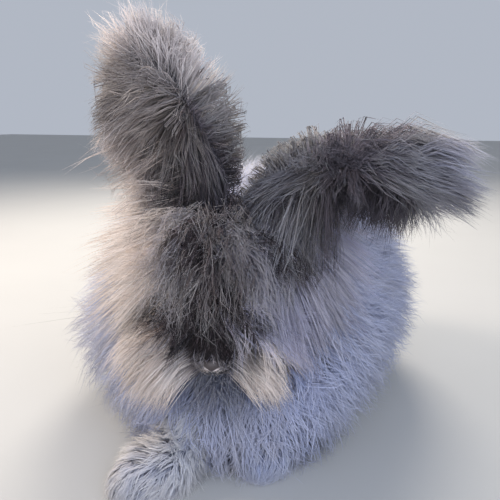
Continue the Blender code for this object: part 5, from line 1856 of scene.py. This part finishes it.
class RABBIT_OT_stage(bpy.types.Operator):
    """Set the pale floor, the soft lights and the camera"""

    bl_idname = "rabbit.stage"
    bl_label = "Stage"

    def execute(self, context):
        corners = ((-1.0, -1.0), (1.0, -1.0), (1.0, 1.0), (-1.0, 1.0))
        points = np.array([(x * STAGE_REACH, y * STAGE_REACH, STAGE_LEVEL) for x, y in corners])
        material, tree, shader = new_material("floor_pale", 0.8)
        colour = mixed(tree, noise(tree, 3.0), (0.42, 0.42, 0.41), (0.47, 0.47, 0.46))
        tree.links.new(colour, shader.inputs["Base Color"])
        floor = new_piece("floor", points, np.array([(0, 1, 2, 3)]), material, smooth=False)
        world = bpy.data.worlds.new("studio")
        context.scene.world = world
        world.use_nodes = True
        background = world.node_tree.nodes["Background"]
        background.inputs["Color"].default_value = SKY
        background.inputs["Strength"].default_value = SKY_STRENGTH
        context.scene.view_settings.view_transform = "Standard"
        middle = FORMS.shift + np.array((0.02, -0.05, 0.14))
        for name, place, power, width, colour in LIGHTS:
            light = bpy.data.lights.new(name, "AREA")
            light.energy = power
            light.size = width
            light.color = colour
            obj = bpy.data.objects.new(name, light)
            context.scene.collection.objects.link(obj)
            obj.location = place
            obj.rotation_euler = (Vector(middle) - Vector(place)).to_track_quat("-Z", "Y").to_euler()
        camera = bpy.data.cameras.new("camera")
        camera.angle = CAMERA_ANGLE
        camera.clip_start = 0.01
        obj = bpy.data.objects.new("camera", camera)
        context.scene.collection.objects.link(obj)
        obj.location = Vector(CAMERA_PLACE) + Vector(FORMS.shift)
        ahead = Vector(
            (
                -math.sin(CAMERA_AZIMUTH) * math.cos(CAMERA_DIP),
                math.cos(CAMERA_AZIMUTH) * math.cos(CAMERA_DIP),
                -math.sin(CAMERA_DIP),
            )
        )
        obj.rotation_euler = ahead.to_track_quat("-Z", "Y").to_euler()
        context.scene.camera = obj
        return {"FINISHED"}


OPERATORS = (
    RABBIT_OT_skin,
    RABBIT_OT_eyes,
    RABBIT_OT_face,
    RABBIT_OT_claws,
    RABBIT_OT_body_wool,
    RABBIT_OT_head_wool,
    RABBIT_OT_ear_wool,
    RABBIT_OT_foot_fur,
    RABBIT_OT_stage,
)


class RABBIT_PT_panel(bpy.types.Panel):
    """Lists the rabbit's settings and pieces"""

    bl_idname = "RABBIT_PT_panel"
    bl_label = "Angora rabbit"
    bl_space_type = "VIEW_3D"
    bl_region_type = "UI"
    bl_category = "Rabbit"

    def draw(self, context):
        for name in RabbitSettings.__annotations__:
            self.layout.prop(context.scene.rabbit, name)
        for operator in OPERATORS:
            self.layout.operator(operator.bl_idname)


def register():
    for item in (RabbitSettings, *OPERATORS, RABBIT_PT_panel):
        bpy.utils.register_class(item)
    bpy.types.Scene.rabbit = bpy.props.PointerProperty(type=RabbitSettings)


def unregister():
    del bpy.types.Scene.rabbit
    for item in (RABBIT_PT_panel, *reversed(OPERATORS), RabbitSettings):
        bpy.utils.unregister_class(item)


def main():
    register()
    marks_and_painted_light_group()
    wool_group()
    bpy.ops.rabbit.skin()
    bpy.ops.rabbit.eyes()
    bpy.ops.rabbit.face()
    bpy.ops.rabbit.claws()
    bpy.ops.rabbit.body_wool()
    bpy.ops.rabbit.head_wool()
    bpy.ops.rabbit.ear_wool()
    bpy.ops.rabbit.foot_fur()
    bpy.ops.rabbit.stage()


if __name__ == "__main__":
    main()
